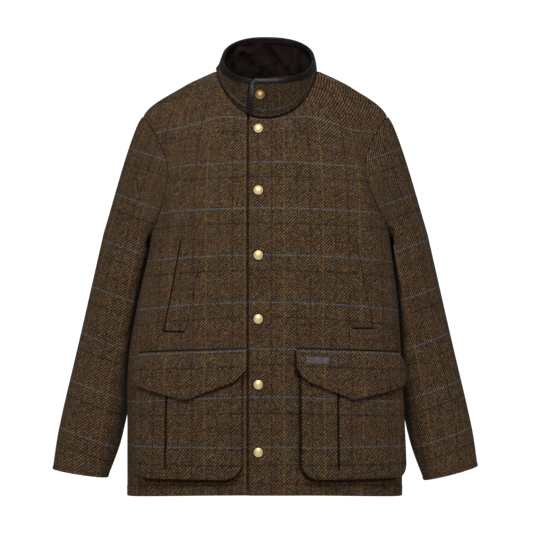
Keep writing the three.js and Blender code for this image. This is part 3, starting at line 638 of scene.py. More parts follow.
def tweed_material(name, painted_light_share=1.0):
    """Milled wool twill: matt, with flecks of mixed yarn, a fine diagonal line, a soft nap that lifts its
    edges a little, and a windowpane overcheck of single coloured threads. Its flecks and lines are drawn
    about twice as coarse as the real ones, so that they show."""
    settings = bpy.context.scene.jacket_cloth
    fleck = (settings.fleck_length / MILLIMETRE, settings.fleck_width / MILLIMETRE)
    twill_pitch = settings.twill_pitch / MILLIMETRE
    material, tree, shader = new_material(
        name, Roughness=0.95, Sheen_Weight=0.015, Sheen_Roughness=0.5, Specular_IOR_Level=0.03
    )
    place = add_node(tree, "ShaderNodeTexCoord")
    cloth = add_node(
        tree, "ShaderNodeVectorMath", {0: place.outputs["UV"], "Scale": 1 / MILLIMETRE}, operation="SCALE"
    )
    split = add_node(tree, "ShaderNodeSeparateXYZ", {0: cloth.outputs[0]})
    turned = add_node(
        tree,
        "ShaderNodeMapping",
        {"Vector": cloth.outputs[0], "Rotation": (0, 0, math.radians(45)), "Scale": (*fleck, 1)},
        vector_type="TEXTURE",
    )
    flecks = add_node(
        tree,
        "ShaderNodeTexVoronoi",
        {"Vector": turned.outputs[0], "Scale": 1.0, "Randomness": 0.9},
        voronoi_dimensions="2D",
    )
    parts = add_node(tree, "ShaderNodeSeparateColor", {0: flecks.outputs["Color"]})
    yarn = add_node(tree, "ShaderNodeValToRGB", {0: parts.outputs[0]})
    yarn.color_ramp.interpolation = "CONSTANT"
    fill_ramp(yarn, [(share, linear(code)) for share, code in YARNS])
    colour = yarn.outputs[0]
    for line in CHECK_LINES:
        colour = check_line(tree, split, parts.outputs[1], colour, line)
    twill = add_node(
        tree,
        "ShaderNodeTexWave",
        {"Vector": turned.outputs[0], "Scale": WAVE_BAND / twill_pitch * fleck[1], "Distortion": 0.15},
        wave_type="BANDS",
        bands_direction="Y",
    )
    soft = add_node(
        tree,
        "ShaderNodeTexNoise",
        {"Vector": cloth.outputs[0], "Scale": 0.022, "Detail": 2.0},
        noise_dimensions="2D",
    )
    # A painted_light_share below 1 paints shade: it darkens this copy of the tweed for cloth that lies in
    # shade
    ribbed = add_node(
        tree,
        "ShaderNodeMapRange",
        {
            "Value": twill.outputs["Fac"],
            "To Min": (1 - settings.rib) * painted_light_share,
            "To Max": (1 + settings.rib) * painted_light_share,
        },
    )
    patchy = add_node(
        tree,
        "ShaderNodeMapRange",
        {"Value": soft.outputs["Fac"], "From Min": 0.3, "From Max": 0.7, "To Min": 0.94, "To Max": 1.06},
    )
    shade = add_node(
        tree, "ShaderNodeMath", {0: ribbed.outputs[0], 1: patchy.outputs[0]}, operation="MULTIPLY"
    )
    toned = add_node(
        tree, "ShaderNodeVectorMath", {0: colour, "Scale": shade.outputs[0]}, operation="SCALE"
    )
    tree.links.new(toned.outputs[0], shader.inputs["Base Color"])
    nap = add_node(
        tree,
        "ShaderNodeTexNoise",
        {"Vector": turned.outputs[0], "Scale": 1.6, "Detail": 3.0},
        noise_dimensions="2D",
    )
    height = add_node(
        tree, "ShaderNodeMath", {0: twill.outputs["Fac"], 1: nap.outputs["Fac"]}, operation="ADD"
    )
    bump = add_node(
        tree,
        "ShaderNodeBump",
        {"Height": height.outputs[0], "Strength": 0.35, "Distance": 0.4 * MILLIMETRE},
    )
    tree.links.new(bump.outputs[0], shader.inputs["Normal"])
    return material


def pile_material(name, colour, dark, sheen, scale):
    """Cloth without a weave that shows, such as brushed cotton, satin or thread. A short pile is dark face
    on and catches a pale bloom where it turns away, which sheen gives. It lies in soft patches, the darkest
    at a share of its light."""
    material, tree, shader = new_material(
        name, Roughness=0.9, Sheen_Weight=sheen, Sheen_Roughness=0.35, Specular_IOR_Level=0.04
    )
    place = add_node(tree, "ShaderNodeTexCoord")
    patches = add_node(
        tree,
        "ShaderNodeTexNoise",
        {"Vector": place.outputs["Object"], "Scale": scale, "Detail": 3.0, "Roughness": 0.6},
    )
    ramp = add_node(tree, "ShaderNodeValToRGB", {0: patches.outputs["Fac"]})
    fill_ramp(ramp, ((0.35, shaded(colour, dark)), (0.7, colour)))
    tree.links.new(ramp.outputs[0], shader.inputs["Base Color"])
    fine = add_node(
        tree, "ShaderNodeTexNoise", {"Vector": place.outputs["Object"], "Scale": 900.0, "Detail": 2.0}
    )
    bump = add_node(
        tree,
        "ShaderNodeBump",
        {"Height": fine.outputs["Fac"], "Strength": 0.25, "Distance": 0.3 * MILLIMETRE},
    )
    tree.links.new(bump.outputs[0], shader.inputs["Normal"])
    return material


def leather_material(name, colour, roughness, gloss):
    """Soft drummed hide: a fine pebbled grain of about a millimetre, worn paler on its raised parts. The
    dark discs under the studs, which paint their contact shadow, are made of it too."""
    material, tree, shader = new_material(name, Roughness=roughness, Specular_IOR_Level=gloss)
    place = add_node(tree, "ShaderNodeTexCoord")
    grain = add_node(
        tree,
        "ShaderNodeTexVoronoi",
        {"Vector": place.outputs["Object"], "Scale": 850.0, "Randomness": 1.0},
        feature="SMOOTH_F1",
    )
    wear = add_node(
        tree, "ShaderNodeTexNoise", {"Vector": place.outputs["Object"], "Scale": 120.0, "Detail": 4.0}
    )
    ramp = add_node(tree, "ShaderNodeValToRGB", {0: wear.outputs["Fac"]})
    fill_ramp(ramp, ((0.3, shaded(colour, 0.45)), (0.75, colour)))
    tree.links.new(ramp.outputs[0], shader.inputs["Base Color"])
    bump = add_node(
        tree,
        "ShaderNodeBump",
        {"Height": grain.outputs["Distance"], "Strength": 0.4, "Distance": 0.25 * MILLIMETRE},
    )
    tree.links.new(bump.outputs[0], shader.inputs["Normal"])
    return material


def brass_material(name, colour, roughness):
    """Polished brass caps with a pale lacquer: bright, with a faint rubbed grain."""
    material, tree, shader = new_material(name, Metallic=1.0)
    place = add_node(tree, "ShaderNodeTexCoord")
    rubbed = add_node(
        tree, "ShaderNodeTexNoise", {"Vector": place.outputs["Object"], "Scale": 400.0, "Detail": 3.0}
    )
    rough = add_node(
        tree,
        "ShaderNodeMapRange",
        {"Value": rubbed.outputs["Fac"], "To Min": roughness * 0.95, "To Max": roughness * 1.05},
    )
    tree.links.new(rough.outputs[0], shader.inputs["Roughness"])
    shader.inputs["Base Color"].default_value = colour
    return material


MATERIALS = {}

# Painted shade: darker copies of the tweed for the bags, the collar and the gusset plate, each with its light
# as a share of that of the body
POCKET_LIGHT = 0.95
COLLAR_LIGHT = 0.56
GUSSET_LIGHT = 0.3


def materials():
    """The jacket's materials, made once."""
    if not MATERIALS:
        settings = bpy.context.scene.jacket_cloth
        MATERIALS["tweed"] = tweed_material("tweed_wool_twill")
        MATERIALS["pocket"] = tweed_material("tweed_pocket_twill", POCKET_LIGHT)
        MATERIALS["collar"] = tweed_material("tweed_collar_twill", COLLAR_LIGHT)
        MATERIALS["gusset"] = tweed_material("tweed_gusset_twill", GUSSET_LIGHT)
        MATERIALS["lining"] = pile_material("satin_lining_brown", settings.lining, 0.5, 0.0, 30.0)
        MATERIALS["moleskin"] = pile_material("cotton_moleskin_brown", settings.moleskin, 0.25, 0.14, 45.0)
        MATERIALS["leather"] = leather_material("drummed_hide_brown", settings.leather, 0.32, 0.13)
        MATERIALS["patch"] = leather_material("drummed_hide_patch", settings.patch, 0.6, 0.06)
        MATERIALS["brass"] = brass_material("polished_brass", settings.brass, 0.6)
        # The collar's stud gets a darker copy of the brass, painted shade
        MATERIALS["dull_brass"] = brass_material("handled_brass", settings.dull_brass, 0.5)
        # A darkened copy of the leather for the discs that paint the studs' contact shadow
        MATERIALS["seat"] = leather_material("blackened_brass_seat", shaded(settings.leather, 0.6), 0.6, 0.05)
        MATERIALS["thread"] = pile_material("polyester_thread", settings.thread, 0.45, 0.0, 500.0)
    return MATERIALS


def grid_cells(rows, columns):
    """The corners of a grid's cells, anticlockwise, as pairs of row and column."""
    i, j = np.meshgrid(np.arange(rows - 1), np.arange(columns - 1), indexing="ij")
    i, j = i.ravel(), j.ravel()
    return np.stack([i, i, i + 1, i + 1], 1), np.stack([j, j + 1, j + 1, j], 1)


def make_object(name, points, faces, uv, face_materials, slots, sharp=None):
    """A mesh object from points in millimetres, faces with equal numbers of corners, a cloth coordinate for
    each corner and a material for each face. Faces are turned round if they point inwards."""
    centred = points - points.mean(0)
    first = centred[faces[:, 0]]
    volume = 0.0
    for k in range(1, faces.shape[1] - 1):
        volume += np.einsum("ij,ij->", first, np.cross(centred[faces[:, k]], centred[faces[:, k + 1]]))
    if volume < 0:
        faces, uv = faces[:, ::-1], uv[:, ::-1]
    mesh = bpy.data.meshes.new(name)
    mesh.from_pydata((points * MILLIMETRE).tolist(), [], faces.tolist())
    layer = mesh.uv_layers.new(name="cloth")
    layer.data.foreach_set("uv", (uv * MILLIMETRE).astype(np.float32).ravel())
    mesh.polygons.foreach_set("material_index", np.asarray(face_materials, np.int32))
    mesh.polygons.foreach_set("use_smooth", np.ones(len(faces), bool))
    for slot in slots:
        mesh.materials.append(slot)
    mesh.update()
    if sharp:
        mesh.set_sharp_from_angle(angle=math.radians(sharp))
    made = bpy.data.objects.new(name, mesh)
    bpy.context.scene.collection.objects.link(made)
    return made


def wall(name, outer, inner, uv, slots, wrap=False, bulge=(0, 0, 0, 0)):
    """A closed wall between two grids of points, outer and inner, whose open edges are rims. Each rim has a
    line in its middle, pushed out by bulge to round the edge: at the first row, last row, first column and
    last column. A grid that wraps joins its last column to its first, and its cloth coordinates have one
    column more."""
    rows, columns = outer.shape[:2]
    wide = columns + 1 if wrap else columns
    points = [outer.reshape(-1, 3), inner.reshape(-1, 3)]
    count = 2 * rows * columns
    cell_rows, cell_columns = grid_cells(rows, wide)
    flat_uv = uv.reshape(-1, 2)
    corners = cell_rows * wide + cell_columns
    outside = cell_rows * columns + cell_columns % columns
    faces = [outside, (outside + rows * columns)[:, ::-1]]
    uvs = [flat_uv[corners], flat_uv[corners][:, ::-1]]
    slot_of = [np.zeros(len(outside), int), np.ones(len(outside), int)]
    edges = [(0, 1, bulge[0], True), (rows - 1, rows - 2, bulge[1], True)]
    if not wrap:
        edges += [(0, 1, bulge[2], False), (columns - 1, columns - 2, bulge[3], False)]
    reversed_edges = (1, 2)
    for number, (edge, next_in, push, is_row) in enumerate(edges):
        if is_row:
            line_out, line_in = outer[edge], inner[edge]
            beyond = unit(outer[edge] - outer[next_in])
            index = edge * columns + np.arange(columns)
            edge_uv = uv[edge]
        else:
            line_out, line_in = outer[:, edge], inner[:, edge]
            beyond = unit(outer[:, edge] - outer[:, next_in])
            index = np.arange(rows) * columns + edge
            edge_uv = uv[:, edge]
        points.append((line_out + line_in) / 2 + beyond * push)
        middle = count + np.arange(len(index))
        count += len(index)
        if wrap:
            index, middle = np.append(index, index[0]), np.append(middle, middle[0])
        inside = index + rows * columns
        for near, far in ((index, middle), (middle, inside)):
            strip = np.stack([near[:-1], far[:-1], far[1:], near[1:]], 1)
            strip_uv = np.stack([edge_uv[:-1], edge_uv[:-1], edge_uv[1:], edge_uv[1:]], 1)
            if number in reversed_edges:
                strip, strip_uv = strip[:, ::-1], strip_uv[:, ::-1]
            faces.append(strip)
            uvs.append(strip_uv)
            slot_of.append(np.zeros(len(strip), int))
    return make_object(
        name,
        np.concatenate(points),
        np.concatenate(faces),
        np.concatenate(uvs),
        np.concatenate(slot_of),
        slots,
        sharp=75,
    )


def sweep(name, rings, slots, sharp=None):
    """A closed tube through rings of points of the same number, with its ends capped by fans."""
    steps, count = rings.shape[:2]
    i, j = np.meshgrid(np.arange(steps - 1), np.arange(count), indexing="ij")
    i, j = i.ravel(), j.ravel()
    after = (j + 1) % count
    side = np.stack([i * count + j, i * count + after, (i + 1) * count + after, (i + 1) * count + j], 1)
    triangles = np.concatenate([side[:, [0, 1, 2]], side[:, [0, 2, 3]]])
    points = np.concatenate([rings.reshape(-1, 3), rings[0].mean(0)[None], rings[-1].mean(0)[None]])
    j = np.arange(count)
    after = (j + 1) % count
    first, last = steps * count, steps * count + 1
    start = np.stack([np.full(count, first), after, j], 1)
    end = np.stack([np.full(count, last), (steps - 1) * count + j, (steps - 1) * count + after], 1)
    faces = np.concatenate([triangles, start, end])
    uv = np.zeros((len(faces), 3, 2))
    return make_object(name, points, faces, uv, np.zeros(len(faces), int), slots, sharp)


def stitches(name, lines, radius=0.32, sink=0.05):
    """Rows of thread: each stitch is a spindle of four sides and five rings along its line, whose radius
    goes as the square root of sin."""
    settings = bpy.context.scene.jacket_cloth
    pitch, length = settings.stitch_pitch / MILLIMETRE, settings.stitch_length / MILLIMETRE
    sides = 4
    places, ways, ups = [], [], []
    for points, normals in lines:
        run = np.concatenate([[0], np.cumsum(np.linalg.norm(np.diff(points, axis=0), axis=1))])
        middles = np.arange(pitch / 2, run[-1] - pitch / 2, pitch)
        pick = lambda values, where: np.stack([np.interp(where, run, values[:, k]) for k in range(3)], 1)
        centre = pick(points, middles)
        ways.append(unit(pick(points, middles + pitch / 3) - pick(points, middles - pitch / 3)))
        ups.append(unit(pick(normals, middles)))
        places.append(centre - ups[-1] * sink)
    centre, way, up = np.concatenate(places), np.concatenate(ways), np.concatenate(ups)
    across = unit(np.cross(way, up))
    t = np.linspace(0.06, 0.94, 5)
    thick = radius * np.sqrt(np.sin(np.pi * t))
    turn = np.arange(sides) * 2 * math.pi / sides
    body = (
        centre[:, None, None, :]
        + way[:, None, None, :] * (length * (t - 0.5))[None, :, None, None]
        + across[:, None, None, :] * (thick[:, None] * np.cos(turn))[None, :, :, None]
        + up[:, None, None, :] * (thick[:, None] * np.sin(turn))[None, :, :, None]
    )
    rings = len(t)
    number = len(centre)
    i, j = np.meshgrid(np.arange(rings - 1), np.arange(sides), indexing="ij")
    i, j = i.ravel(), j.ravel()
    after = (j + 1) % sides
    one = np.stack([i * sides + j, i * sides + after, (i + 1) * sides + after, (i + 1) * sides + j], 1)
    caps = np.array([[3, 2, 1, 0], [(rings - 1) * sides + k for k in range(sides)]])
    one = np.concatenate([one, caps])
    faces = (one[None] + (np.arange(number) * rings * sides)[:, None, None]).reshape(-1, 4)
    made = make_object(
        name,
        body.reshape(-1, 3),
        faces,
        np.zeros((len(faces), 4, 2)),
        np.zeros(len(faces), int),
        [materials()["thread"]],
    )
    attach(made, "root")
    return made


def on_surface(surface, a, b, lift):
    """Points of a line on a surface, lifted off it, and the surface's normals there."""
    normals = normal_of(surface, a, b)
    return surface(a, b) + normals * lift, normals


def cloth_area(grid):
    """The area of a grid of points in square metres."""
    across = grid[1:, 1:] - grid[:-1, :-1]
    other = grid[1:, :-1] - grid[:-1, 1:]
    return float(np.linalg.norm(np.cross(across, other), axis=-1).sum() / 2) * MILLIMETRE**2


def declare(made, outer, uv, flat=None):
    """Attaches a piece of cloth to the jacket and prints its flat size, the one given or the box of its cloth
    coordinates, with its area as cut."""
    spans = uv.reshape(-1, 2).max(0) - uv.reshape(-1, 2).min(0) if flat is None else np.array(flat)
    spans = spans * MILLIMETRE
    area = cloth_area(outer)
    spans = spans * max(1.0, math.sqrt(area / (spans[0] * spans[1])))
    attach(made, "root")
    print(made.name, "cut", [round(float(s), 3) for s in spans], "area", round(area, 4))


def fasten(made, node=None):
    """Attaches a hard piece to the jacket and hides the solid it stands for, if one is given."""
    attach(made, "root")
    if node:
        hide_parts(node)


# Distances from the hem and from a front edge at which a row or column lies on purpose, for the turned hem
# and the stitching
HEM_LINES = (0, 1.2, 3, 6, 10, 14, 16.8, 18, 19, 20, 21.2, 24, 28)
UPPER_LINES = (
    *(-29, -28.5, -27.8, -27, -26, -25.4, -24.8, -24.2, -23.4, -22, -19.5, -16, -11, -5, 1, 7, 12, 15),
    *(16.4, 17.4, 18.4, 19.4, 20.4, 22),
)
UNDER_LINES = (12, 8, 2, -5, -12, -19, -24, -26.5, -28, -29, -30, -30.8, -31.6, -32.4, -33.4, -34.6, -36, -39)
HEM_STITCH = 19
HEM_BAND = 0.5
STITCH_DIP = 1.0
GROOVE = 0.45
THREAD_LIFT = 0.1
HEM_RATE = 662
FACING_STITCH = 18.4
EDGE_STITCH = 4.2

# The dark hollow along the front edge, by its place, half width and depth, and the heights above the hem over
# which it comes in, and the dip at the collar's seam
HOLLOW = (-30.8, 1.6, 9.0)
HOLLOW_FADE = (2, 12)
TOP_LINES = (0, 0.8, 1.7, 2.8, 4.2)
TOP_RATE = 690
TOP_DIP = (1.6, 2.0)
TOP_FROM = 6

# How finely the panels are divided
SKIRT_ROWS = 92
ARMHOLE_ROWS = 45
TOP_ROWS = 28
FRONT_COLUMNS = 58
BACK_COLUMNS = 116


def armhole_station(share):
    """The armhole's station up the body at a share of its way up."""
    return lerp(UNDERARM, SHOULDER, column(ARMHOLE, "rise", share))


def armhole_angle(share, face):
    """The armhole's angle on the front or back at a share of its way up."""
    cut = np.radians(column(ARMHOLE, face, share))
    return QUARTER - cut if face == "front" else QUARTER + cut


def body_rows():
    """Stations up a body panel, and the angles of its side edge on the front and on the back."""
    hem = np.array(HEM_LINES) / HEM_RATE
    skirt = np.linspace(hem[-1], UNDERARM, SKIRT_ROWS)[1:-1]
    share = np.linspace(0, 1, ARMHOLE_ROWS)
    top = np.linspace(SHOULDER, 1 - TOP_FROM / TOP_RATE, TOP_ROWS)[1:]
    top = np.concatenate([top, 1 - np.array(TOP_LINES)[::-1] / TOP_RATE])
    plain = np.full(len(hem) + len(skirt), QUARTER)
    at = np.concatenate([hem, skirt, armhole_station(share), top])
    flat = np.full(len(top), QUARTER)
    front = np.concatenate([plain, armhole_angle(share, "front"), flat])
    back = np.concatenate([plain, armhole_angle(share, "back"), flat])
    return at, front, back


def half_seam(angle, at):
    """Half the gap of a seam, as an angle on the body."""
    run = np.linalg.norm(plain_body(angle + EPSILON, at) - plain_body(angle - EPSILON, at), axis=-1)
    return SEAM / 2 * 2 * EPSILON / run


def hem_relief(at):
    """The turned hem: a doubled band that ends in a groove at its stitching."""
    up = at * HEM_RATE
    band = HEM_BAND * (1 - smoothstep(up, HEM_STITCH - 1, HEM_STITCH + 1.5))
    return band - STITCH_DIP * bell(up - HEM_STITCH, 1.2)


def edge_relief(at):
    """The relief of a panel at its hem, and its dip into its seam with the collar."""
    depth, half = TOP_DIP
    return hem_relief(at) - depth * bell((1 - at) * TOP_RATE, half)


def front_angles(lines, side, at):
    """Angles across a front: at fixed distances from the middle near its front edge, then evenly to its
    side."""
    near = angle_at(BODY, np.array(lines, float)[None, :], at[:, None])
    shares = np.linspace(0, 1, FRONT_COLUMNS)[1:]
    return np.concatenate([near, lerp(near[:, -1:], side[:, None], shares[None, :])], 1)


def panel(name, surface, angle, at, relief, sink, back=False, bulge=(0.8, 0, 0, 0)):
    """A body panel: a wall of tweed whose outer face has a relief and which sinks as a whole by another
    one. Its inner face is satin."""
    normals = normal_of(surface, angle, at)
    plain = surface(angle, at) - normals * sink[..., None]
    outer = plain + normals * relief[..., None]
    inner = plain - normals * TWEED
    uv = CLOTH.at(angle, at, back)
    made = wall(name, outer, inner, uv, [materials()["tweed"], materials()["lining"]], bulge=bulge)
    return made, outer, uv


class JACKET_OT_body(bpy.types.Operator):
    """Builds the two fronts and the back"""

    bl_idname = "jacket.body"
    bl_label = "Body panels"

    def execute(self, context):
        at, front, back = body_rows()
        right = front_angles(UNDER_LINES, -front + half_seam(-front, at), at)
        stations = np.repeat(at[:, None], right.shape[1], 1)
        place, half, depth = HOLLOW
        across = plain_body(right, stations)[..., 0]
        sink = depth * bell(across - place, half) * smoothstep(stations * HEM_RATE, *HOLLOW_FADE)
        relief = edge_relief(stations)
        made, outer, uv = panel("cloth_front_right", body_surface, right, stations, relief, sink)
        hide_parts("front_right")
        declare(made, outer, uv)
        left = front_angles(UPPER_LINES, front - half_seam(front, at), at)
        stations = np.repeat(at[:, None], left.shape[1], 1)
        across = plain_body(left, stations)[..., 0]
        relief = edge_relief(stations) - GROOVE * bell(across - FACING_STITCH, 1.3)
        relief -= GROOVE * bell(across + OVERLAP - EDGE_STITCH, 0.9)
        relief -= 0.9 * np.exp(-(across + OVERLAP) / 0.8)
        made, outer, uv = panel(
            "cloth_front_left",
            front_left_surface,
            left,
            stations,
            relief,
            np.zeros_like(relief),
            bulge=(0.8, 0, 0.4, 0),
        )
        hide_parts("front_left")
        declare(made, outer, uv)
        columns = np.linspace(0, 1, BACK_COLUMNS)
        gap = half_seam(back, at)
        first, last = back + gap, 2 * math.pi - back - gap
        behind = lerp(first[:, None], last[:, None], columns[None, :])
        stations = np.repeat(at[:, None], len(columns), 1)
        relief = edge_relief(stations)
        made, outer, uv = panel(
            "cloth_back", body_surface, behind, stations, relief, np.zeros_like(relief), True
        )
        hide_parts("back")
        declare(made, outer, uv)
        self.sew()
        return {"FINISHED"}

    def sew(self):
        """The stitching of the hem, the front edge and the facing."""
        hem = HEM_STITCH / HEM_RATE
        lines = []
        for surface, start, end, count in (
            (body_surface, -QUARTER, angle_at(BODY, -OVERLAP - 2, hem), 200),
            (front_left_surface, angle_at(BODY, -OVERLAP + 3, hem), QUARTER, 200),
            (body_surface, QUARTER, 3 * QUARTER, 260),
        ):
            angles = np.linspace(start, end, count)
            lines.append(on_surface(surface, angles, np.full(count, hem), THREAD_LIFT))
        stations = np.linspace(0.006, 0.995, 300)
        for x in (-OVERLAP + EDGE_STITCH, FACING_STITCH):
            angles = angle_at(BODY, np.full(300, x), stations)
            lines.append(on_surface(front_left_surface, angles, stations, 0.0))
        stitches("thread_body", lines)


def body_share(point, at):
    """How far out points lie as a share of the body's reach at stations, the line of the sides there, and
    the ring's height at the points' bearing."""
    set_back = column(BODY, "set", at)
    fore = point[..., 1] < set_back
    power = np.where(fore, column(BODY, "square", at), column(BODY, "hind", at))
    half = np.where(point[..., 0] < 0, column(BODY, "right", at), column(BODY, "left", at))
    depth = np.where(fore, column(BODY, "fore", at), column(BODY, "aft", at))
    x = np.abs(point[..., 0]) / half
    y = (set_back - point[..., 1]) / depth
    reach = (x**power + np.abs(y) ** power) ** (1 / power)
    level = np.where(y > 0, column(BODY, "front", at), column(BODY, "back", at))
    bearing = np.minimum(np.abs(y / reach), 1) ** column(BODY, "bow", at)
    return reach, set_back, lerp(column(BODY, "side", at), level, bearing)


def body_reach(point):
    """The share of the body's reach at the points' own heights, by halving."""
    low, high = np.zeros(point.shape[:-1]), np.ones(point.shape[:-1])
    for _ in range(HALVINGS):
        at = (low + high) / 2
        reach, set_back, height = body_share(point, at)
        below = height < point[..., 2]
        low, high = np.where(below, at, low), np.where(below, high, at)
    return reach, set_back


def clear_of_body(point, clearance):
    """Moves points of a sleeve out of the body, softly, as cloth that lies against it."""
    reach, set_back = body_reach(point)
    across = np.hypot(point[..., 0], point[..., 1] - set_back) / reach
    least = 1 + clearance / across
    near = np.maximum(0, SOFT_SHARE - np.abs(reach - least)) / SOFT_SHARE
    wanted = np.maximum(reach, least) + near * near * SOFT_SHARE / 4
    x = point[..., 0] * wanted / reach
    y = set_back + (point[..., 1] - set_back) * wanted / reach
    return np.stack([x, y, point[..., 2]], -1)


def crease_height(turn, at):
    """The creases of a sleeve at turns and stations, as its folds in the plane of the two."""
    folds = {
        "x0": SLEEVE_CREASES["turn0"] * CREASE_SCALE[0],
        "z0": SLEEVE_CREASES["at0"] * CREASE_SCALE[1],
        "x1": SLEEVE_CREASES["turn1"] * CREASE_SCALE[0],
        "z1": SLEEVE_CREASES["at1"] * CREASE_SCALE[1],
        "half": SLEEVE_CREASES["half"],
        "depth": SLEEVE_CREASES["depth"],
    }
    around = np.mod(turn, 4)
    return fold_sum(around * CREASE_SCALE[0], at * CREASE_SCALE[1], folds)


def sleeve_surface(side):
    """The outer face of a sleeve. turn runs round it from the underarm, 0, by the front, 1, the shoulder
    point, 2, and the back, 3; at runs from the armhole, 0, to the cuff, 1."""
    first = SLEEVE["at"][0]

    def section(turn, at):
        angle = turn * QUARTER
        reach = np.where(np.cos(angle) > 0, column(SLEEVE, "in", at), column(SLEEVE, "out", at))
        outwards = -np.cos(angle) * reach
        tilt = np.radians(column(SLEEVE, "tilt", at) + side * CUFF_TURN * at**4)
        x = side * (column(SLEEVE, "x", at) + outwards * np.cos(tilt))
        y = column(SLEEVE, "y", at) - np.sin(angle) * column(SLEEVE, "deep", at)
        return np.stack([x, y, column(SLEEVE, "z", at) + outwards * np.sin(tilt)], -1)

    def armhole(turn):
        around = np.mod(turn, 4)
        share = np.where(around < 2, around / 2, 2 - around / 2)
        angle = np.where(around < 2, armhole_angle(share, "front"), armhole_angle(share, "back"))
        return body_surface(side * angle, armhole_station(share))

    def cap(turn, at):
        high = ((1 - np.cos(turn * QUARTER)) / 2)[..., None]
        start = armhole(turn) + np.array([side * SLEEVE_SEAM, 0, 0])
        end = clear_of_body(section(turn, np.full(turn.shape, first)), ARM_CLEARANCE)
        reach = np.linalg.norm(end - start, axis=-1, keepdims=True)
        tilt = math.radians(SLEEVE["tilt"][0])
        low_way = np.array([side * CAP_LOW[0], 0, CAP_LOW[1]])
        high_way = np.array([side * CAP_HIGH[0], 0, CAP_HIGH[1]])
        leave = lerp(low_way, high_way, high) * CAP_LEAVE * reach
        arrive = np.array([side * math.sin(tilt), 0, -math.cos(tilt)]) * reach
        return hermite(start, leave, end, arrive, (at / first)[..., None])

    def surface(turn, at):
        turn, at = np.broadcast_arrays(np.asarray(turn, float), np.asarray(at, float))
        lower = section(turn, np.maximum(at, first))
        upper = cap(turn, np.minimum(at, first))
        point = np.where((at < first)[..., None], upper, lower)
        clear = clear_of_body(point, ARM_CLEARANCE)
        return lerp(point, clear, smoothstep(at, 0, first / 2)[..., None])

    return surface


# The sleeve's checks: the pitch of its blue lines, the height of one at the outer edge, how many degrees the
# lines turn down inwards, and how far before the outer edge the first upright line stands
SLEEVE_PITCH = 85.7
SLEEVE_LINE = -296
SLEEVE_TILT = 19.5
SLEEVE_UPRIGHT = 40
CUFF_LINES = (0, 1.4, 3.4, 6, 7.4, 8.4, 9.4, 11, 14)
CUFF_STITCH = 8.4
SLEEVE_REACH = 412
SLEEVE_COLUMNS = 85
CAP_ROWS = 30
SLEEVE_ROWS = 84
SEAM_TURNS = np.array([-0.045, -0.018, -0.006, 0.006, 0.018, 0.045])


class JACKET_OT_sleeves(bpy.types.Operator):
    """Builds the two sleeves, each all round, with the seams of its top and under sleeve"""

    bl_idname = "jacket.sleeves"
    bl_label = "Sleeves"

    def execute(self, context):
        for name, side in (("right", -1), ("left", 1)):
            self.sleeve(name, side)
        return {"FINISHED"}

    def sleeve(self, name, side):
        surface = sleeve_surface(side)
        even = np.linspace(0, 4, SLEEVE_COLUMNS)[:-1]
        turns = np.concatenate([even, *(SEAM_TURNS + seam for seam in SLEEVE_SEAMS)])
        turns = np.unique(np.round(turns, 6))
        first = SLEEVE["at"][0]
        length = SLEEVE_REACH / (1 - first)
        cuff = 1 - np.array(CUFF_LINES)[::-1] / length
        upper = np.linspace(CAP_FIRST, first, CAP_ROWS)[:-1]
        rows = np.concatenate([upper, np.linspace(first, cuff[0], SLEEVE_ROWS)[:-1], cuff])
        turn, at = np.meshgrid(turns, rows)
        plain = surface(turn, at)
        normals = normal_of(surface, turn, np.maximum(at, WIDE_AT), WIDE_TURN, WIDE_AT) * -side
        fine = normal_of(surface, turn, np.maximum(at, 0.01), 0.02, 0.008) * -side
        blend = smoothstep(at, 0.02, 0.12)[..., None]
        normals = unit(lerp(normals, fine, blend))
        plain = plain + normals * (crease_height(turn, at) * smoothstep(at, 0.0, 0.06))[..., None]
        to_cuff = (1 - at) * length
        relief = HEM_BAND * (1 - smoothstep(to_cuff, CUFF_STITCH - 1, CUFF_STITCH + 1.2))
        relief = relief - STITCH_DIP * bell(to_cuff - CUFF_STITCH, 1.1)
        for seam in SLEEVE_SEAMS:
            relief = relief - 0.9 * bell(turn - seam, 0.014) * smoothstep(at, 0.01, 0.05)
        outer = plain + normals * relief[..., None]
        inner = plain - normals * TWEED
        uv = self.cloth(surface, turns, rows, side)
        made = wall(
            "cloth_sleeve_" + name,
            outer,
            inner,
            uv,
            [materials()["tweed"], materials()["lining"]],
            wrap=True,
            bulge=(SLEEVE_SEAM, 0.9, 0, 0),
        )
        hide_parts("sleeve_" + name + "_top", "sleeve_" + name + "_under")
        closed = np.concatenate([outer, outer[:, :1]], 1)
        girth = along_steps(closed[rows >= first], 1)[:, -1].max()
        reach = along_steps(closed[:, [int(np.argmin(np.abs(turns - 2)))]], 0)[-1, 0]
        declare(made, closed, uv, flat=(girth, reach))
        stitch_turns = np.linspace(0, 4, 260)
        lines = [on_line(surface, stitch_turns, np.full(260, 1 - CUFF_STITCH / length), side)]
        stitches("thread_sleeve_" + name, lines)

    def cloth(self, surface, turns, rows, side):
        """Cloth coordinates of a sleeve: round it, the distance from its outer edge; along it, the height
        above a blue line there, measured square to the tilted lines."""
        wide = np.append(turns, turns[0] + 4)
        turn, at = np.meshgrid(wide, rows)
        points = surface(turn, at)
        round_it = along_steps(points, 1)
        outer = int(np.argmin(np.abs(wide - 2)))
        round_it = round_it - round_it[:, [outer]]
        tilt = math.radians(SLEEVE_TILT)
        up = points @ np.array([-side * math.sin(tilt), 0, math.cos(tilt)])
        mark = np.interp(SLEEVE_LINE, points[::-1, outer, 2], up[::-1, outer])
        return np.stack([side * (round_it + SLEEVE_UPRIGHT), (up - mark) * PITCH_UP / SLEEVE_PITCH], -1)


def on_line(surface, turn, at, side):
    """Points and normals of a line on a sleeve."""
    normals = normal_of(surface, turn, at, 0.05, 0.01) * -side
    return surface(turn, at) + normals * 0.05, normals


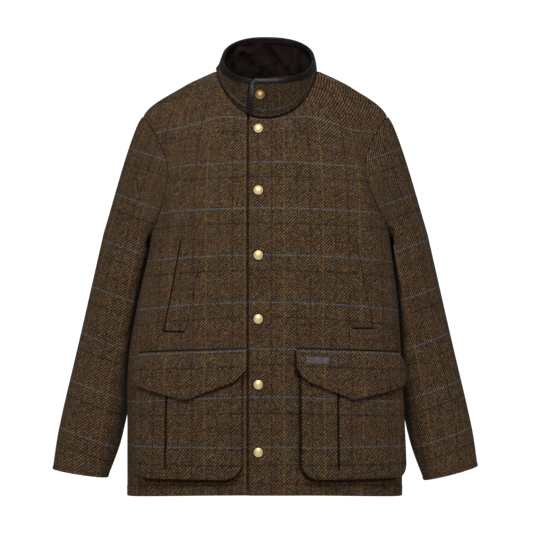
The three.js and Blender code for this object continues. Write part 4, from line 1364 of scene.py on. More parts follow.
def collar_surface(angle, at):
    """The collar's outer face, from the end that lies on top round to the end underneath. The upper end is
    lifted off the lower one and raised at its seam."""
    lap = 1 - smoothstep(angle, *np.radians(COLLAR_FADE))
    plain = lambda a, b: ring_point(COLLAR, a, b)
    point = plain(angle, at) + normal_of(plain, angle, at) * (COLLAR_LIFT * lap)[..., None]
    raised = COLLAR_RAISE * lap * (1 - at)
    return point + np.stack([np.zeros_like(raised), np.zeros_like(raised), raised], -1)


def collar_height(angle):
    """The collar's height along the cloth at angles."""
    angle = np.asarray(angle, float)
    top, low = collar_surface(angle, np.ones_like(angle)), collar_surface(angle, np.zeros_like(angle))
    return np.linalg.norm(top - low, axis=-1)


COLLAR_START = float(angle_at(COLLAR, COLLAR_OVER, 0.5))
COLLAR_END = float(2 * math.pi + angle_at(COLLAR, COLLAR_UNDER, 0.5))
BOUND_END = float(2 * math.pi + angle_at(COLLAR, COLLAR_BOUND, 1.0))


def collar_rate():
    """How many millimetres the collar's top covers for each radian at its upper end."""
    near = np.array([COLLAR_START + EPSILON, COLLAR_START - EPSILON])
    ends = collar_surface(near, np.ones(2))
    return float(np.linalg.norm(ends[0] - ends[1]) / (2 * EPSILON))


def collar_columns(count, corner_steps):
    """Angles round the collar, and the share of its height that its top edge reaches at each, which is less
    at its rounded corner and more where its end underneath stands above the binding."""
    corner_angle = COLLAR_CORNER / collar_rate()
    turn = QUARTER * np.arange(corner_steps) / corner_steps
    corner = COLLAR_START + corner_angle * (1 - np.cos(turn))
    angle = np.concatenate([corner, np.linspace(COLLAR_START + corner_angle, COLLAR_END, count)])
    below = np.concatenate([COLLAR_CORNER * (1 - np.sin(turn)), np.zeros(count)])
    rise = TONGUE_RISE * smoothstep(angle - BOUND_END, *np.radians(TONGUE_FADE))
    return angle, 1 + (rise - below) / collar_height(angle)


# Folds of the lining seen inside the neck, by their places in the front view
NECK_FOLDS = table(
    FOLD,
    (-62, 26, -50, 52, 8, 5.6),
    (-50, 52, -30, 46, 7, 5.8),
    (-30, 46, -26, 30, 6, 4.8),
    (12, 56, 40, 22, 6, 5.0),
    (40, 22, 56, 4, 6, 4.4),
    (-12, 62, -14, 14, 12, 3.4),
    (58, 50, 60, 6, 5, 3.6),
)
LINING_SEAM = 62

# The lining's foot below the collar's seam, as a share of the collar's height, in front and at the back, and
# how fast it spreads there to follow the body
LINING_FOOT = (-0.05, -0.5)
FOOT_SPREAD = 14

# The collar's columns and those of its corner, and its checks: where they start round it, and the height of
# its blue line above the seam
COLLAR_GRID = (210, 12)
COLLAR_ACROSS = 12
COLLAR_LINE = 12

# The collar's dip at its seam by depth and reach, and its long crease by the share of its height where the
# cloth steps out, the share over which that dies away and the step, with the distances from the middle over
# which it comes in
COLLAR_DIP = (1.6, 2.2)
COLLAR_CREASE = (0.14, 0.3, 3.2)
COLLAR_CREASE_SOFT = 0.012
COLLAR_CREASE_FROM = (26, 40)
FOOT_REACH = 0.3


class JACKET_OT_collar(bpy.types.Operator):
    """Builds the stand collar, its lining, the neck lining and the leather binding"""

    bl_idname = "jacket.collar"
    bl_label = "Collar"

    def execute(self, context):
        angle, top = collar_columns(*COLLAR_GRID)
        crease = COLLAR_CREASE[0] + np.array([-0.035, -0.022, -0.012, 0, 0.012, 0.022, 0.035])
        shares = np.concatenate([[0, 0.012, 0.025, 0.04, 0.06], crease, np.linspace(0.21, 1, 20)])
        angles = np.repeat(angle[None, :], len(shares), 0)
        at = shares[:, None] * top[None, :]
        normals = normal_of(collar_surface, angles, at)
        plain = collar_surface(angles, at)
        up = at * collar_height(angles)
        sink = self.sink(angles, at, up, plain[..., 0])[..., None]
        outer = plain - normals * sink
        uv = np.stack([along_steps(plain, 1) + COLLAR_ACROSS, up - COLLAR_LINE], -1)
        # The collar's tweed is a darker copy of the body's, painted shade
        slots = [materials()["collar"], materials()["lining"]]
        made = wall("cloth_collar", outer, plain - normals * TWEED, uv, slots)
        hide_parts("collar")
        declare(made, outer, uv)
        self.lining(angles, at)
        self.neck()
        self.binding()
        return {"FINISHED"}

    def sink(self, angles, at, up, x):
        """How far the collar dips into its seam, less its step out at the long crease above that on the
        wearer's right."""
        depth, half = COLLAR_DIP
        seam = depth * bell(up, half) * smoothstep(angles, *np.radians(COLLAR_FADE))
        place, reach, height = COLLAR_CREASE
        step = smoothstep(at, place - COLLAR_CREASE_SOFT, place + COLLAR_CREASE_SOFT)
        step = height * step * np.exp(-np.maximum(at - place, 0) / reach)
        step = step * smoothstep(-x, *COLLAR_CREASE_FROM)
        return seam - step * smoothstep(angles, math.pi, 1.5 * math.pi)

    def lining(self, angles, at):
        """The moleskin inside the collar, whose folds stand towards the neck at the back."""
        foot = lerp(*LINING_FOOT, smoothstep(-np.cos(angles), 0, 0.5))
        at = lerp(foot, 1, at)
        plain = collar_surface(angles, at)
        normals = normal_of(collar_surface, angles, at)
        off = fold_sum(plain[..., 0], plain[..., 2], NECK_FOLDS) * smoothstep(plain[..., 1], 10, 34)
        seam = bell(plain[..., 0] - LINING_SEAM, 2.0) * smoothstep(plain[..., 1], 0, 10)
        inside = TWEED + SEAM + FOOT_REACH * (1 - smoothstep(at, 0, 0.12))
        inside = inside - FOOT_SPREAD * np.minimum(at, 0) ** 2
        outer = plain - normals * inside[..., None]
        depth = (LINING + np.maximum(off, -0.8) - 0.6 * seam)[..., None]
        uv = np.stack([along_steps(outer, 1), along_steps(outer, 0)], -1)
        slots = [materials()["moleskin"], materials()["moleskin"]]
        made = wall("lining_collar", outer, outer - normals * depth, uv, slots)
        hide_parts("collar_lining")
        declare(made, outer, uv)

    def neck(self):
        """The moleskin that goes on below the collar inside the back neck."""
        angle, at = np.meshgrid(np.linspace(QUARTER * 1.1, QUARTER * 2.9, 90), np.linspace(0.948, 0.995, 22))
        normals = normal_of(body_surface, angle, at)
        outer = body_surface(angle, at) - normals * (TWEED + 2 * SEAM)
        waves = 0.7 * np.sin(angle * 11) * smoothstep(np.abs(angle - math.pi), 0.0, 0.6)
        depth = (LINING + np.maximum(waves, 0))[..., None]
        uv = np.stack([along_steps(outer, 1), along_steps(outer, 0)], -1)
        slots = [materials()["moleskin"], materials()["moleskin"]]
        made = wall("lining_neck", outer, outer - normals * depth, uv, slots)
        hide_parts("neck_lining")
        declare(made, outer, uv)

    def binding(self):
        """The leather binding: a folded strip round the collar's front end, its corner and its top edge. Its
        section goes up the outside, over the edge in a half round, and down the inside."""
        rate = collar_rate()
        height = float(collar_height(COLLAR_START))
        front_end = height - COLLAR_CORNER
        inside = COLLAR_CORNER - BINDING_WIDTH
        ups = np.linspace(0, front_end, 28)[:-1]
        edge = np.stack([np.zeros_like(ups), ups], 1)
        inner = np.stack([np.full_like(ups, BINDING_WIDTH), ups], 1)
        turn = np.linspace(0, QUARTER, 12)
        out = np.stack([-np.cos(turn), np.sin(turn)], 1)
        centre = np.array([COLLAR_CORNER, front_end])
        edge = np.concatenate([edge, centre + COLLAR_CORNER * out])
        inner = np.concatenate([inner, centre + inside * out])
        angle, _ = collar_columns(*COLLAR_GRID)
        rest = angle[(angle > COLLAR_START + COLLAR_CORNER / rate + 0.004) & (angle <= BOUND_END)]
        along = (rest - COLLAR_START) * rate
        edge = np.concatenate([edge, np.stack([along, np.full_like(along, height)], 1)])
        inner = np.concatenate([inner, np.stack([along, np.full_like(along, height - BINDING_WIDTH)], 1)])
        section = self.section(TWEED + SEAM + LINING)
        share = (-section[:, 0] / BINDING_WIDTH)[None, :, None]
        place = lerp(edge[:, None, :], inner[:, None, :], share)
        angles = COLLAR_START + place[..., 0] / rate
        at = 1 + (place[..., 1] - height) / collar_height(angles)
        normals = normal_of(collar_surface, angles, at)
        rings = collar_surface(angles, at) + normals * section[None, :, 1, None]
        made = sweep("leather_collar_binding", rings, [materials()["leather"]], sharp=60)
        fasten(made, "collar_binding")

    def section(self, stack):
        """The binding's outline, as distances beyond the edge and heights off the collar."""
        near, far = BINDING_CLEAR, BINDING_CLEAR + LEATHER
        middle, half = -stack / 2, stack / 2
        turn = np.linspace(-QUARTER, QUARTER, 11)[1:-1]
        beyond = near + BINDING_BEYOND * np.cos(turn)
        over = np.stack([beyond, middle - (half + far) * np.sin(turn)], 1)
        under = np.stack([0.1 + 0.7 * np.cos(turn[::-1]), middle - (half + near) * np.sin(turn[::-1])], 1)
        legs = np.array([-BINDING_WIDTH, -BINDING_WIDTH * 0.6, -BINDING_WIDTH * 0.2])
        crown = np.array([0.0, 0.25, 0.1])
        outside = np.stack([legs, far + crown - [0.35, 0, 0]], 1)
        behind = np.stack([legs[::-1], (-stack - far - crown + [0.35, 0, 0][::-1])[::-1]], 1)
        inner_down = np.stack([legs, np.full(3, -stack - near)], 1)
        inner_up = np.stack([legs[::-1], np.full(3, near)], 1)
        return np.concatenate([outside, over, behind, inner_down, under, inner_up])


def pocket_place(pocket, along, height):
    """The angle and station of places on a pocket, by the way along the cloth and the height."""
    along, height = np.broadcast_arrays(along, height)
    heights = np.linspace(height.min(), height.max(), 60)
    start = locate(np.full(60, pocket["side"] * pocket["inner"]), heights)[0]
    end = locate(np.full(60, pocket["side"] * pocket["outer"]), heights)[0]
    share = along / pocket_width(pocket)
    angle = lerp(np.interp(height, heights, start), np.interp(height, heights, end), share)
    return angle, station_at(angle, height)


def pocket_width(pocket):
    """The width of a pocket along the cloth, at the middle of its height."""
    height = (FLAP_SEAM + BAG_BOTTOM) / 2
    start, at = locate(pocket["side"] * pocket["inner"], height)
    end, _ = locate(pocket["side"] * pocket["outer"], height)
    points = plain_body(lerp(start, end, np.linspace(0, 1, 13)), at)
    return float(np.linalg.norm(np.diff(points, axis=0), axis=1).sum())


def flap_seam(share):
    """The height of the flap's seam, which drops towards the side of the jacket."""
    return FLAP_SEAM - FLAP_OUTER_DROP * share


def bag_depth(height):
    """The bag's depth off the panel at a height."""
    return lerp(BAG_LOW_DEPTH, BAG_TOP_DEPTH, smoothstep(height, BAG_BOTTOM, FLAP_SEAM - TO_MOUTH))


def pleat_height(pocket, place):
    """How far the standing side of the pleat rises, and falls away from its edge."""
    past = (place - pocket["pleat"]) * pocket["raised"]
    return np.where(past > 0, PLEAT_RISE * (1 - smoothstep(past, PLEAT_STEP, PLEAT_REACH)), 0)


# A plate that lies flat is off the panel by its lift. A welt stands off it by its own, over the mouth's
# lining, which shows beyond it by the margins at its lower and upper ends. That dark lining is partly
# painted shade along the welt's raised edges.
PLATE_LIFT = 0.1
WELT_LIFT = 0.8
MOUTH_LOW = 2.6
MOUTH_HIGH = 0.4
MOUTH_THICK = 0.5
WELT_LENGTH = 163
WELT_WIDTH = 38


class JACKET_OT_welts(bpy.types.Operator):
    """Builds the slanted hand-warmer welts"""

    bl_idname = "jacket.welts"
    bl_label = "Hand-warmer welts"

    def execute(self, context):
        for name, welt in WELTS.items():
            self.welt(name, welt)
        return {"FINISHED"}

    def points(self, welt, share, across):
        """The angle and station of places on a welt, by shares of its length and width."""
        inner = lerp(welt["inner_bottom"], welt["inner_top"], share)
        outer = lerp(welt["outer_bottom"], welt["outer_top"], share)
        height = lerp(welt["bottom"], welt["top"], share)
        return locate(welt["side"] * lerp(inner, outer, across), height)

    def plate(self, name, welt, rows, columns, low, high, slot):
        """A plate on the panel between two lifts, the upper of which is a function of the shares."""
        share, across = np.meshgrid(rows, columns, indexing="ij")
        angle, at = self.points(welt, share, across)
        surface = front_surface(welt["side"])
        normals = normal_of(surface, angle, at)
        plain = surface(angle, at)
        uv = CLOTH.at(angle, at)
        slots = [materials()[slot], materials()[slot]]
        top = plain + normals * high(share, across)[..., None]
        made = wall(name, top, plain + normals * low, uv, slots, bulge=(0.3, 0.3, 0.3, 0.3))
        declare(made, plain, uv)
        return made

    def welt(self, name, welt):
        rows = np.concatenate([[0, 0.012, 0.03], np.linspace(0.05, 0.95, 36), [0.97, 0.988, 1]])
        columns = np.concatenate([[0, 0.04, 0.1], np.linspace(0.2, 0.8, 8), [0.9, 0.96, 1]])

        def height(share, across):
            from_edge = np.minimum(across, 1 - across) * WELT_WIDTH
            from_end = np.minimum(share, 1 - share) * WELT_LENGTH
            rounded = 1 - 0.4 * np.exp(-from_edge / 0.9) - 0.3 * np.exp(-from_end / 1.2)
            return SEAM + WELT_RISE * np.clip(rounded, 0.4, 1)

        made = self.plate("cloth_welt_" + name, welt, rows, columns, WELT_LIFT, height, "tweed")
        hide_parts("welt_" + name)
        surface = front_surface(welt["side"])
        low, high = -MOUTH_LOW / WELT_LENGTH, 1 + MOUTH_HIGH / WELT_LENGTH
        rows = np.concatenate([[low, 0], np.linspace(0.02, 0.98, 30), [1, high]])
        columns = np.concatenate([np.linspace(0.1, 0.9, 8), [1, 1 + welt["mouth"] / WELT_WIDTH]])
        # The mouth's dark plate is the lining in the opening and, beyond the welt's edges, painted shade
        flat = lambda share, across: np.full(share.shape, PLATE_LIFT + MOUTH_THICK)
        self.plate("lining_welt_mouth_" + name, welt, rows, columns, PLATE_LIFT, flat, "lining")
        lines = []
        for end in (0.03, 0.97):
            angle, at = self.points(welt, np.full(20, end), np.linspace(0.06, 0.94, 20))
            lines.append(on_surface(surface, angle, at, SEAM + WELT_RISE))
        stitches("thread_welt_" + name, lines)


BAG_STITCH = 10

# The slump of a bag's front by depth, height and half width, and the valley beside its pleat by depth,
# distance and half width, with the depths below the neck over which it comes in
BAG_SLUMP = (1.6, -655, 34)
BAG_VALLEY = (2.0, 46, 12)
VALLEY_FROM = (560, 640)

# The gusset lies flat on the panel round the bag as a plate of dark tweed, painted shade of the bag and flap:
# how far it shows beyond the bag's sides and below it, its top and the drop at which it widens beside the
# flap, and its thickness
GUSSET_SIDE = 3.4
GUSSET_LOW = 7.0
GUSSET_TOP = 3
GUSSET_WIDENS = (56, 40)
GUSSET_THICK = 0.4


class JACKET_OT_pockets(bpy.types.Operator):
    """Builds the bags of the bellows pockets"""

    bl_idname = "jacket.pockets"
    bl_label = "Pocket bags"

    def execute(self, context):
        for name, pocket in POCKETS.items():
            self.bag(name, pocket)
        return {"FINISHED"}

    def columns(self, pocket, width):
        """Places across a bag: round its sides, and on both sides of the pleat's edge."""
        pleat = pocket["pleat"]
        near = np.array([-3.4, -2.4, -1.6, -PLEAT_STEP, -0.3, 0.3, PLEAT_STEP, 1.6, 2.4, 3.4])
        left = np.arange(BAG_ROUND + 3.5, pleat - 5, 3.8)
        right = np.arange(pleat + 5, width - BAG_ROUND - 2, 3.8)
        return np.concatenate([BAG_TURN, left, pleat + near, right, (width - BAG_TURN)[::-1]])

    def bag(self, name, pocket):
        width = pocket_width(pocket)
        across = self.columns(pocket, width)
        outer, uv = self.face(pocket, width, across, 0)
        inner, _ = self.face(pocket, width, across, TWEED)
        # The bag's tweed is a slightly darker copy, painted shade, and its third slot paints the shade in the
        # pleat's slit
        made = wall(
            "cloth_pocket_" + name,
            outer,
            inner,
            uv,
            [materials()["pocket"], materials()["lining"], materials()["gusset"]],
            bulge=(0, 0.8, 0, 0),
        )
        self.shade(made, outer, across, pocket["pleat"])
        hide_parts("pocket_" + name)
        declare(made, outer, uv)
        self.gusset(name, pocket, width)
        self.sew(name, pocket, width)

    def face(self, pocket, width, across, inset):
        """One face of the bag, set in from its outer one."""
        low = BAG_BOTTOM + inset
        corner = BAG_CORNER - inset
        shares = np.linspace(0, 1, 96)[1:]
        side = np.minimum(across, width - across)[None, :]
        bottom = low + corner - np.sqrt(corner**2 - np.maximum(corner - side, 0) ** 2)
        mouth = flap_seam(across / width)[None, :] - TO_MOUTH
        height = np.concatenate(
            [bottom + BAG_TURN[:, None], lerp(bottom + BAG_ROUND, mouth, shares[:, None])], 0
        )
        count = len(BAG_TURN)
        sides = np.ones(len(across))
        sides[:count], sides[-count:] = BAG_RISE, BAG_RISE[::-1]
        rise = np.ones(len(height))
        rise[:count] = BAG_RISE
        rise = rise[:, None] * sides[None, :]
        across = np.repeat(across[None, :], len(height), 0)
        place = across + inset * (1 - 2 * across / width)
        top = bag_depth(height) - inset + self.relief(pocket, place, height)
        angle, at = pocket_place(pocket, place, height)
        surface = front_surface(pocket["side"])
        off = BAG_GAP + (top - BAG_GAP) * rise
        points = surface(angle, at) + normal_of(surface, angle, at) * off[..., None]
        return points, CLOTH.at(angle, at)

    def shade(self, made, outer, across, pleat):
        """Paints shade into the pleat's slit: its cells take the gusset's dark tweed. The outer face's cells
        come first.
        """
        inside = np.abs((across[1:] + across[:-1]) / 2 - pleat) < SLIT_SHADE
        inside = inside[None, :] & (outer[:-1, :-1, 2] > BAG_BOTTOM + SLIT_FOOT)
        index = np.zeros(len(made.data.polygons), np.int32)
        made.data.polygons.foreach_get("material_index", index)
        index[: inside.size][inside.ravel()] = 2
        made.data.polygons.foreach_set("material_index", index)

    def gusset(self, name, pocket, width):
        """The gusset, a plate on the panel with round lower corners, in dark tweed that paints the bag's
        shade on the panel.
        """
        near = np.linspace(0, 0.12, 14)
        share, row = np.meshgrid(
            np.concatenate([near, np.linspace(0.15, 0.85, 24), 1 - near[::-1]]),
            np.concatenate([near, np.linspace(0.14, 1, 50)]),
        )
        start, end = -pocket["margin"], width + GUSSET_SIDE
        across = lerp(start, end, share)
        corner = BAG_CORNER + GUSSET_SIDE
        short = np.maximum(corner - np.minimum(across - start, end - across), 0)
        bottom = BAG_BOTTOM - GUSSET_LOW + corner - np.sqrt(corner**2 - short**2)
        height = lerp(bottom, flap_seam(share) - GUSSET_TOP, row)
        low, high = FLAP_SEAM - GUSSET_WIDENS[0], FLAP_SEAM - GUSSET_WIDENS[1]
        flare = (pocket["flare"] - pocket["margin"]) * smoothstep(height, low, high)
        angle, at = pocket_place(pocket, across - flare * (1 - smoothstep(share, 0, 0.2)), height)
        surface = front_surface(pocket["side"])
        normals = normal_of(surface, angle, at)
        under = surface(angle, at) + normals * PLATE_LIFT
        outer = under + normals * GUSSET_THICK
        # Dark tweed at a share of the body's light, painted shade round the bag
        slots = [materials()["gusset"], materials()["gusset"]]
        uv = CLOTH.at(angle, at)
        made = wall("cloth_gusset_" + name, outer, under, uv, slots, bulge=(0.2, 0.2, 0.2, 0.2))
        declare(made, outer, uv)

    def relief(self, pocket, place, height):
        """The pleat with its slit, the soft slumps of the bag's front between its corners, and its hollow
        under the flap's edge."""
        width = pocket_width(pocket)
        share = place / width
        depth, level, half = BAG_SLUMP
        slump = -depth * bell(height - level, half) * np.sin(math.pi * np.clip(share, 0, 1)) ** 2
        depth, away, half = BAG_VALLEY
        other = pocket["pleat"] - pocket["raised"] * away
        valley = -depth * bell(place - other, half) * smoothstep(-height, *VALLEY_FROM)
        half, part = PLEAT_SLIT
        slit = part * bag_depth(height) * bell(place - pocket["pleat"], half)
        slit = slit * smoothstep(height, BAG_BOTTOM + BAG_STITCH, BAG_BOTTOM + BAG_CORNER)
        drop = flap_seam(share) - height
        across = (place + FLAP_INNER_MARGIN) / (width + FLAP_INNER_MARGIN + FLAP_OUTER_MARGIN)
        inside = across / pocket["point"] * FLAP_POINT
        outside = 1 - (1 - across) / (1 - pocket["point"]) * (1 - FLAP_POINT)
        edge = flap_edge(np.where(across < pocket["point"], inside, outside))
        depth, half = FLAP_HOLLOW
        hollow = depth * bell(drop - edge, half)
        return pleat_height(pocket, place) + slump + valley - slit - hollow

    def sew(self, name, pocket, width):
        """The stitching inside the bag's lower edge."""
        surface = front_surface(pocket["side"])
        turn = np.linspace(0, QUARTER, 16)
        reach = BAG_CORNER - BAG_STITCH
        arc = BAG_CORNER - reach * np.cos(turn)
        straight = np.linspace(BAG_CORNER, width - BAG_CORNER, 140)[1:-1]
        across = np.concatenate([arc, straight, width - arc[::-1]])
        round_up = BAG_BOTTOM + BAG_CORNER - reach * np.sin(turn)
        level = np.full(len(straight), BAG_BOTTOM + BAG_STITCH)
        height = np.concatenate([round_up, level, round_up[::-1]])
        angle, at = pocket_place(pocket, across, height)
        off = bag_depth(height) + self.relief(pocket, across, height)
        lines = [on_surface(surface, angle, at, off[:, None])]
        stitches("thread_pocket_" + name, lines)


FLAP_WIDTH = 190
FLAP_STITCH = 7
FLAP_LINE = 3.4


def flap_place(pocket, share, drop):
    """The angle, station and height of places on a flap. The shares are stretched on one side of its point
    and pressed together on the other."""
    inside = share / FLAP_POINT
    outside = (1 - share) / (1 - FLAP_POINT)
    moved = np.where(share < FLAP_POINT, pocket["point"] * inside, 1 - (1 - pocket["point"]) * outside)
    along = lerp(-FLAP_INNER_MARGIN, pocket_width(pocket) + FLAP_OUTER_MARGIN, moved)
    height = flap_seam(moved) - drop
    angle, at = pocket_place(pocket, along, height)
    return angle, at, height


def flap_clearance(height, drop):
    """The height of a flap's underside off the panel, at a drop below its seam."""
    lift, start, end = FLAP_LIFT
    over = bag_depth(height) + PLEAT_RISE + FLAP_CLEAR + lift * smoothstep(drop, start, end)
    return lerp(SEAM, over, np.sin(QUARTER * np.clip(np.maximum(drop, 0) / TO_MOUTH, 0, 1)))


def flap_edge(share):
    """The drop of a flap's lower edge, a broken line with its corners eased."""
    reach = np.array([-0.012, 0.0, 0.012])
    return sum(np.interp(share + r, FLAP_EDGE["at"], FLAP_EDGE["drop"]) for r in reach) / len(reach)


class JACKET_OT_flaps(bpy.types.Operator):
    """Builds the pocket flaps, their leather piping and the bare leather patch"""

    bl_idname = "jacket.flaps"
    bl_label = "Pocket flaps"

    def execute(self, context):
        for name, pocket in POCKETS.items():
            self.flap(name, pocket)
            self.piping(name, pocket)
        self.patch()
        return {"FINISHED"}

    def points(self, pocket, share, drop, lift):
        angle, at, height = flap_place(pocket, share, drop)
        surface = front_surface(pocket["side"])
        off = flap_clearance(height, drop) + lift
        return surface(angle, at) + normal_of(surface, angle, at) * off[..., None], angle, at

    def flap(self, name, pocket):
        shares = np.concatenate([[0, 0.004, 0.012], np.linspace(0.024, 0.976, 62), [0.988, 0.996, 1]])
        downs = np.concatenate([np.linspace(0, 0.9, 26), [0.93, 0.955, 0.975, 0.99, 1]])
        share, down = np.meshgrid(shares, downs)
        edge = flap_edge(share)
        drop = edge * down
        from_edge = np.minimum(edge - drop, np.minimum(share, 1 - share) * FLAP_WIDTH)
        groove = GROOVE * bell(from_edge - FLAP_STITCH, 1.6)
        groove = groove + GROOVE * bell(drop - FLAP_STITCH, 1.4)
        rolled = 0.8 * np.exp(-from_edge / 1.1)
        outer, angle, at = self.points(pocket, share, drop, TWEED - groove - rolled)
        inner, _, _ = self.points(pocket, share, drop, np.zeros_like(drop))
        uv = CLOTH.at(angle, at)
        uv[..., 1] = FLAP_LINE - drop
        made = wall(
            "cloth_flap_" + name,
            outer,
            inner,
            uv,
            [materials()["tweed"], materials()["lining"]],
            bulge=(0, 0.7, 0.5, 0.5),
        )
        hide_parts("flap_" + name)
        declare(made, outer, uv)
        lines = []
        line = np.linspace(0.02, 0.98, 200)
        for drops in (np.full(200, float(FLAP_STITCH)), flap_edge(line) - FLAP_STITCH):
            points, angle, at = self.points(pocket, line, drops, np.full(200, TWEED - 0.4))
            normals = normal_of(front_surface(pocket["side"]), angle, at)
            lines.append((points, normals))
        stitches("thread_flap_" + name, lines)

    def piping(self, name, pocket):
        """A round cord of leather along the top of a flap."""
        share = np.linspace(0, 1, 80)[:, None]
        turn = np.linspace(0, 2 * math.pi, 13)[None, :-1]
        away = SEAM + PIPING / 2 * (1 - np.cos(turn))
        high = SEAM + PIPING / 2 * (1 + np.sin(turn))
        share, away = np.broadcast_arrays(share, away)
        angle, at, _ = flap_place(pocket, share, -away)
        surface = front_surface(pocket["side"])
        rings = surface(angle, at) + normal_of(surface, angle, at) * high[..., None]
        made = sweep("leather_piping_" + name, rings, [materials()["leather"]])
        fasten(made, "piping_" + name)

    def patch(self):
        """The leather patch on the wearer's left flap, bare, with its edge stitched down."""
        pocket = POCKETS["left"]
        shares = np.linspace(*LABEL_SHARES, 30)
        drops = np.linspace(*LABEL_DROPS, 14)
        share, drop = np.meshgrid(shares, drops)
        from_side = np.minimum(share - LABEL_SHARES[0], LABEL_SHARES[1] - share) * FLAP_WIDTH
        from_end = np.minimum(drop - LABEL_DROPS[0], LABEL_DROPS[1] - drop)
        near = np.minimum(from_side, from_end)
        soft = 0.45 * np.exp(-near / 0.7) + 0.3 * bell(near - 1.8, 0.6)
        outer, _, _ = self.points(pocket, share, drop, TWEED + SEAM + LEATHER - soft)
        inner, _, _ = self.points(pocket, share, drop, np.full(share.shape, TWEED + SEAM))
        slots = [materials()["patch"], materials()["patch"]]
        uv = np.stack([share * FLAP_WIDTH, drop], -1)
        made = wall("leather_label_patch", outer, inner, uv, slots, bulge=(0.2, 0.2, 0.2, 0.2))
        fasten(made, "label_patch")


class JACKET_OT_studs(bpy.types.Operator):
    """Builds the domed press studs"""

    bl_idname = "jacket.studs"
    bl_label = "Press studs"

    def execute(self, context):
        heights = np.array(STUD_HEIGHTS, float)
        angle, at = locate(np.full(len(heights), STUD_X), heights)
        for i in range(len(heights)):
            self.stud("stud_" + str(i + 1), front_left_surface, angle[i], at[i], "brass")
        x, up = COLLAR_STUD
        self.stud("stud_collar", collar_surface, angle_at(COLLAR, x, up), up, "dull_brass")
        return {"FINISHED"}

    def stud(self, node, surface, angle, at, finish):
        """A lathed cap: a rolled rim, then a dome whose height goes as the square root of 1 - r^2. It stands
        on a flat dark disc that paints its contact shadow."""
        angle, at = np.array([float(angle)]), np.array([float(at)])
        normal = Vector(normal_of(surface, angle, at)[0])
        centre = surface(angle, at)[0]
        rim = [(0.0, 0.0), (0.9, 0.0), (0.985, 0.25), (1.0, 0.6), (0.985, 0.95), (0.955, 1.15)]
        rim.append((0.93, STUD_RIM))
        reach = np.linspace(DOME_FROM, 0.0, 12)
        low = math.sqrt(1 - DOME_FROM**2)
        rise = STUD_RISE - STUD_RIM
        dome = [(r, STUD_RIM + rise * (math.sqrt(1 - r * r) - low) / (1 - low)) for r in reach]
        profile = np.array(rim + dome)
        turn = np.linspace(0, 2 * math.pi, 37)[:-1]
        rings = np.stack(
            [
                STUD_RADIUS * profile[:, :1] * np.cos(turn),
                STUD_RADIUS * profile[:, :1] * np.sin(turn),
                np.repeat(profile[:, 1:], len(turn), 1),
            ],
            -1,
        )[1:-1]
        basis = np.array(normal.to_track_quat("Z", "Y").to_matrix())
        rings = rings @ basis.T + centre + np.array(normal) * SEAM
        made = sweep("brass_" + node, rings, [materials()[finish]], sharp=70)
        fasten(made, node)
        # The dark disc under the cap, painted contact shadow on the cloth
        flat = np.stack([np.cos(turn), np.sin(turn), np.zeros_like(turn)], -1) * SHADOW_DISC_RADIUS
        lifts = np.array([SEAM - SHADOW_DISC_THICK, SEAM])[:, None, None] * np.array([0.0, 0.0, 1.0])
        seat = (flat[None] + lifts) @ basis.T + centre
        made = sweep("brass_seat_" + node, seat, [materials()["seat"]], sharp=60)
        fasten(made)


# The camera's place across, sensor and far clip. The backdrop's reach to all sides, where it turns up and
# the radius of its turn, in millimetres. Each light's name, place, aim and size, in metres.
CAMERA_SIDE = 0.0018
SENSOR = 36
FAR_CLIP = 60
PAPER_REACH = 9000
PAPER_TURN = 3500
PAPER_ROUND = 2500
JACKET_MIDDLE = (0, 0, -0.35)
LIGHTS = (
    ("key", (-0.1, -2.2, 1.7), JACKET_MIDDLE, 1.1),
    ("fill", (-2.2, -2.6, 0.5), JACKET_MIDDLE, 1.6),
    ("top", (0.0, -0.6, 2.4), JACKET_MIDDLE, 1.6),
    ("paper", (0.0, 2.6, 2.6), (0, 5.5, -0.2), 3.0),
)


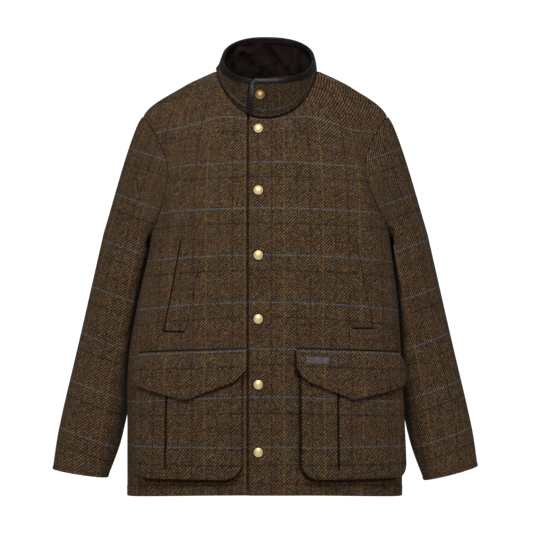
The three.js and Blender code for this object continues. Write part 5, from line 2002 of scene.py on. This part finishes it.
class JACKET_OT_stage(bpy.types.Operator):
    """Builds the floor with its backdrop, the lights and the camera"""

    bl_idname = "jacket.stage"
    bl_label = "Studio"

    def execute(self, context):
        settings = context.scene.jacket_stage
        self.backdrop(settings)
        self.lights(settings)
        camera = bpy.data.cameras.new("camera")
        camera.lens = settings.lens
        camera.sensor_width = SENSOR
        camera.clip_end = FAR_CLIP
        made = bpy.data.objects.new("camera", camera)
        made.location = (CAMERA_SIDE, -settings.distance, settings.height)
        made.rotation_euler = (QUARTER, 0, 0)
        context.scene.collection.objects.link(made)
        context.scene.camera = made
        context.scene.view_settings.view_transform = "Standard"
        return {"FINISHED"}

    def backdrop(self, settings):
        """A floor that turns up into a wall in a quarter round, well below and behind the jacket."""
        turn = np.linspace(0, QUARTER, 16)
        y = PAPER_TURN + PAPER_ROUND * np.sin(turn)
        y = np.concatenate([[-PAPER_REACH], y, [PAPER_TURN + PAPER_ROUND]])
        z = np.concatenate([[0], PAPER_ROUND * (1 - np.cos(turn)), [PAPER_REACH]])
        z = z + settings.floor / MILLIMETRE
        x = np.linspace(-PAPER_REACH, PAPER_REACH, 3)
        points = np.stack(
            [np.repeat(x[None], len(y), 0), np.repeat(y[:, None], 3, 1), np.repeat(z[:, None], 3, 1)], -1
        )
        rows, columns = grid_cells(len(y), 3)
        faces = rows * 3 + columns
        material, tree, shader = new_material("studio_paper", Roughness=0.95)
        place = add_node(tree, "ShaderNodeTexCoord")
        grain = add_node(tree, "ShaderNodeTexNoise", {"Vector": place.outputs["Object"], "Scale": 2.0})
        ramp = add_node(tree, "ShaderNodeValToRGB", {0: grain.outputs["Fac"]})
        fill_ramp(ramp, ((0.3, linear("#f3f3f3")), (0.7, linear("#f6f6f6"))))
        tree.links.new(ramp.outputs[0], shader.inputs["Base Color"])
        mesh = bpy.data.meshes.new("studio_floor")
        mesh.from_pydata((points.reshape(-1, 3) * MILLIMETRE).tolist(), [], faces.tolist())
        mesh.polygons.foreach_set("use_smooth", np.ones(len(faces), bool))
        mesh.materials.append(material)
        made = bpy.data.objects.new("studio_floor", mesh)
        bpy.context.scene.collection.objects.link(made)

    def lights(self, settings):
        """Soft boxes high in front, at the left and overhead, and an even pale surround."""
        world = bpy.data.worlds.new("studio")
        world.use_nodes = True
        world.node_tree.nodes["Background"].inputs["Color"].default_value = linear("#ffffff")
        world.node_tree.nodes["Background"].inputs["Strength"].default_value = settings.surround
        bpy.context.scene.world = world
        for name, place, aim, size in LIGHTS:
            light = bpy.data.lights.new(name, "AREA")
            light.energy = getattr(settings, name)
            light.size = size
            made = bpy.data.objects.new(name, light)
            made.location = place
            made.rotation_euler = (Vector(aim) - Vector(place)).to_track_quat("-Z", "Y").to_euler()
            bpy.context.scene.collection.objects.link(made)


class JACKET_PG_stage(bpy.types.PropertyGroup):
    """The camera and the lights"""

    lens: FloatProperty(name="Lens", description="Focal length in millimetres", default=187.5)
    distance: FloatProperty(
        name="Distance", description="From the camera to the jacket's middle", default=5.0, unit="LENGTH"
    )
    height: FloatProperty(name="Height", description="The camera's height", default=-0.3447, unit="LENGTH")
    floor: FloatProperty(name="Floor", description="The floor's height", default=-1.15, unit="LENGTH")
    surround: FloatProperty(name="Surround", description="Strength of the even surround", default=0.24)
    key: FloatProperty(name="Key", description="Power of the high front soft box", default=65.0, unit="POWER")
    fill: FloatProperty(name="Fill", description="Power of the left soft box", default=6.0, unit="POWER")
    top: FloatProperty(name="Top", description="Power of the overhead soft box", default=2.0, unit="POWER")
    paper: FloatProperty(
        name="Paper", description="Power of the backdrop's light", default=150.0, unit="POWER"
    )


class JACKET_PT_panel(bpy.types.Panel):
    """Lists the jacket's pieces"""

    bl_idname = "JACKET_PT_panel"
    bl_label = "Tweed field jacket"
    bl_space_type = "VIEW_3D"
    bl_region_type = "UI"
    bl_category = "Jacket"

    def draw(self, context):
        for operator in OPERATORS:
            self.layout.operator(operator.bl_idname)
        for name in JACKET_PG_cloth.__annotations__:
            self.layout.prop(context.scene.jacket_cloth, name)
        for name in JACKET_PG_stage.__annotations__:
            self.layout.prop(context.scene.jacket_stage, name)


OPERATORS = (
    JACKET_OT_body,
    JACKET_OT_sleeves,
    JACKET_OT_collar,
    JACKET_OT_welts,
    JACKET_OT_pockets,
    JACKET_OT_flaps,
    JACKET_OT_studs,
    JACKET_OT_stage,
)
CLASSES = (JACKET_PG_cloth, JACKET_PG_stage, *OPERATORS, JACKET_PT_panel)


def register():
    for made in CLASSES:
        bpy.utils.register_class(made)
    bpy.types.Scene.jacket_cloth = PointerProperty(type=JACKET_PG_cloth)
    bpy.types.Scene.jacket_stage = PointerProperty(type=JACKET_PG_stage)


def unregister():
    del bpy.types.Scene.jacket_stage
    del bpy.types.Scene.jacket_cloth
    for made in reversed(CLASSES):
        bpy.utils.unregister_class(made)


def main():
    """Builds every piece."""
    register()
    bpy.ops.jacket.body()
    bpy.ops.jacket.sleeves()
    bpy.ops.jacket.collar()
    bpy.ops.jacket.welts()
    bpy.ops.jacket.pockets()
    bpy.ops.jacket.flaps()
    bpy.ops.jacket.studs()
    bpy.ops.jacket.stage()


if __name__ == "__main__":
    main()
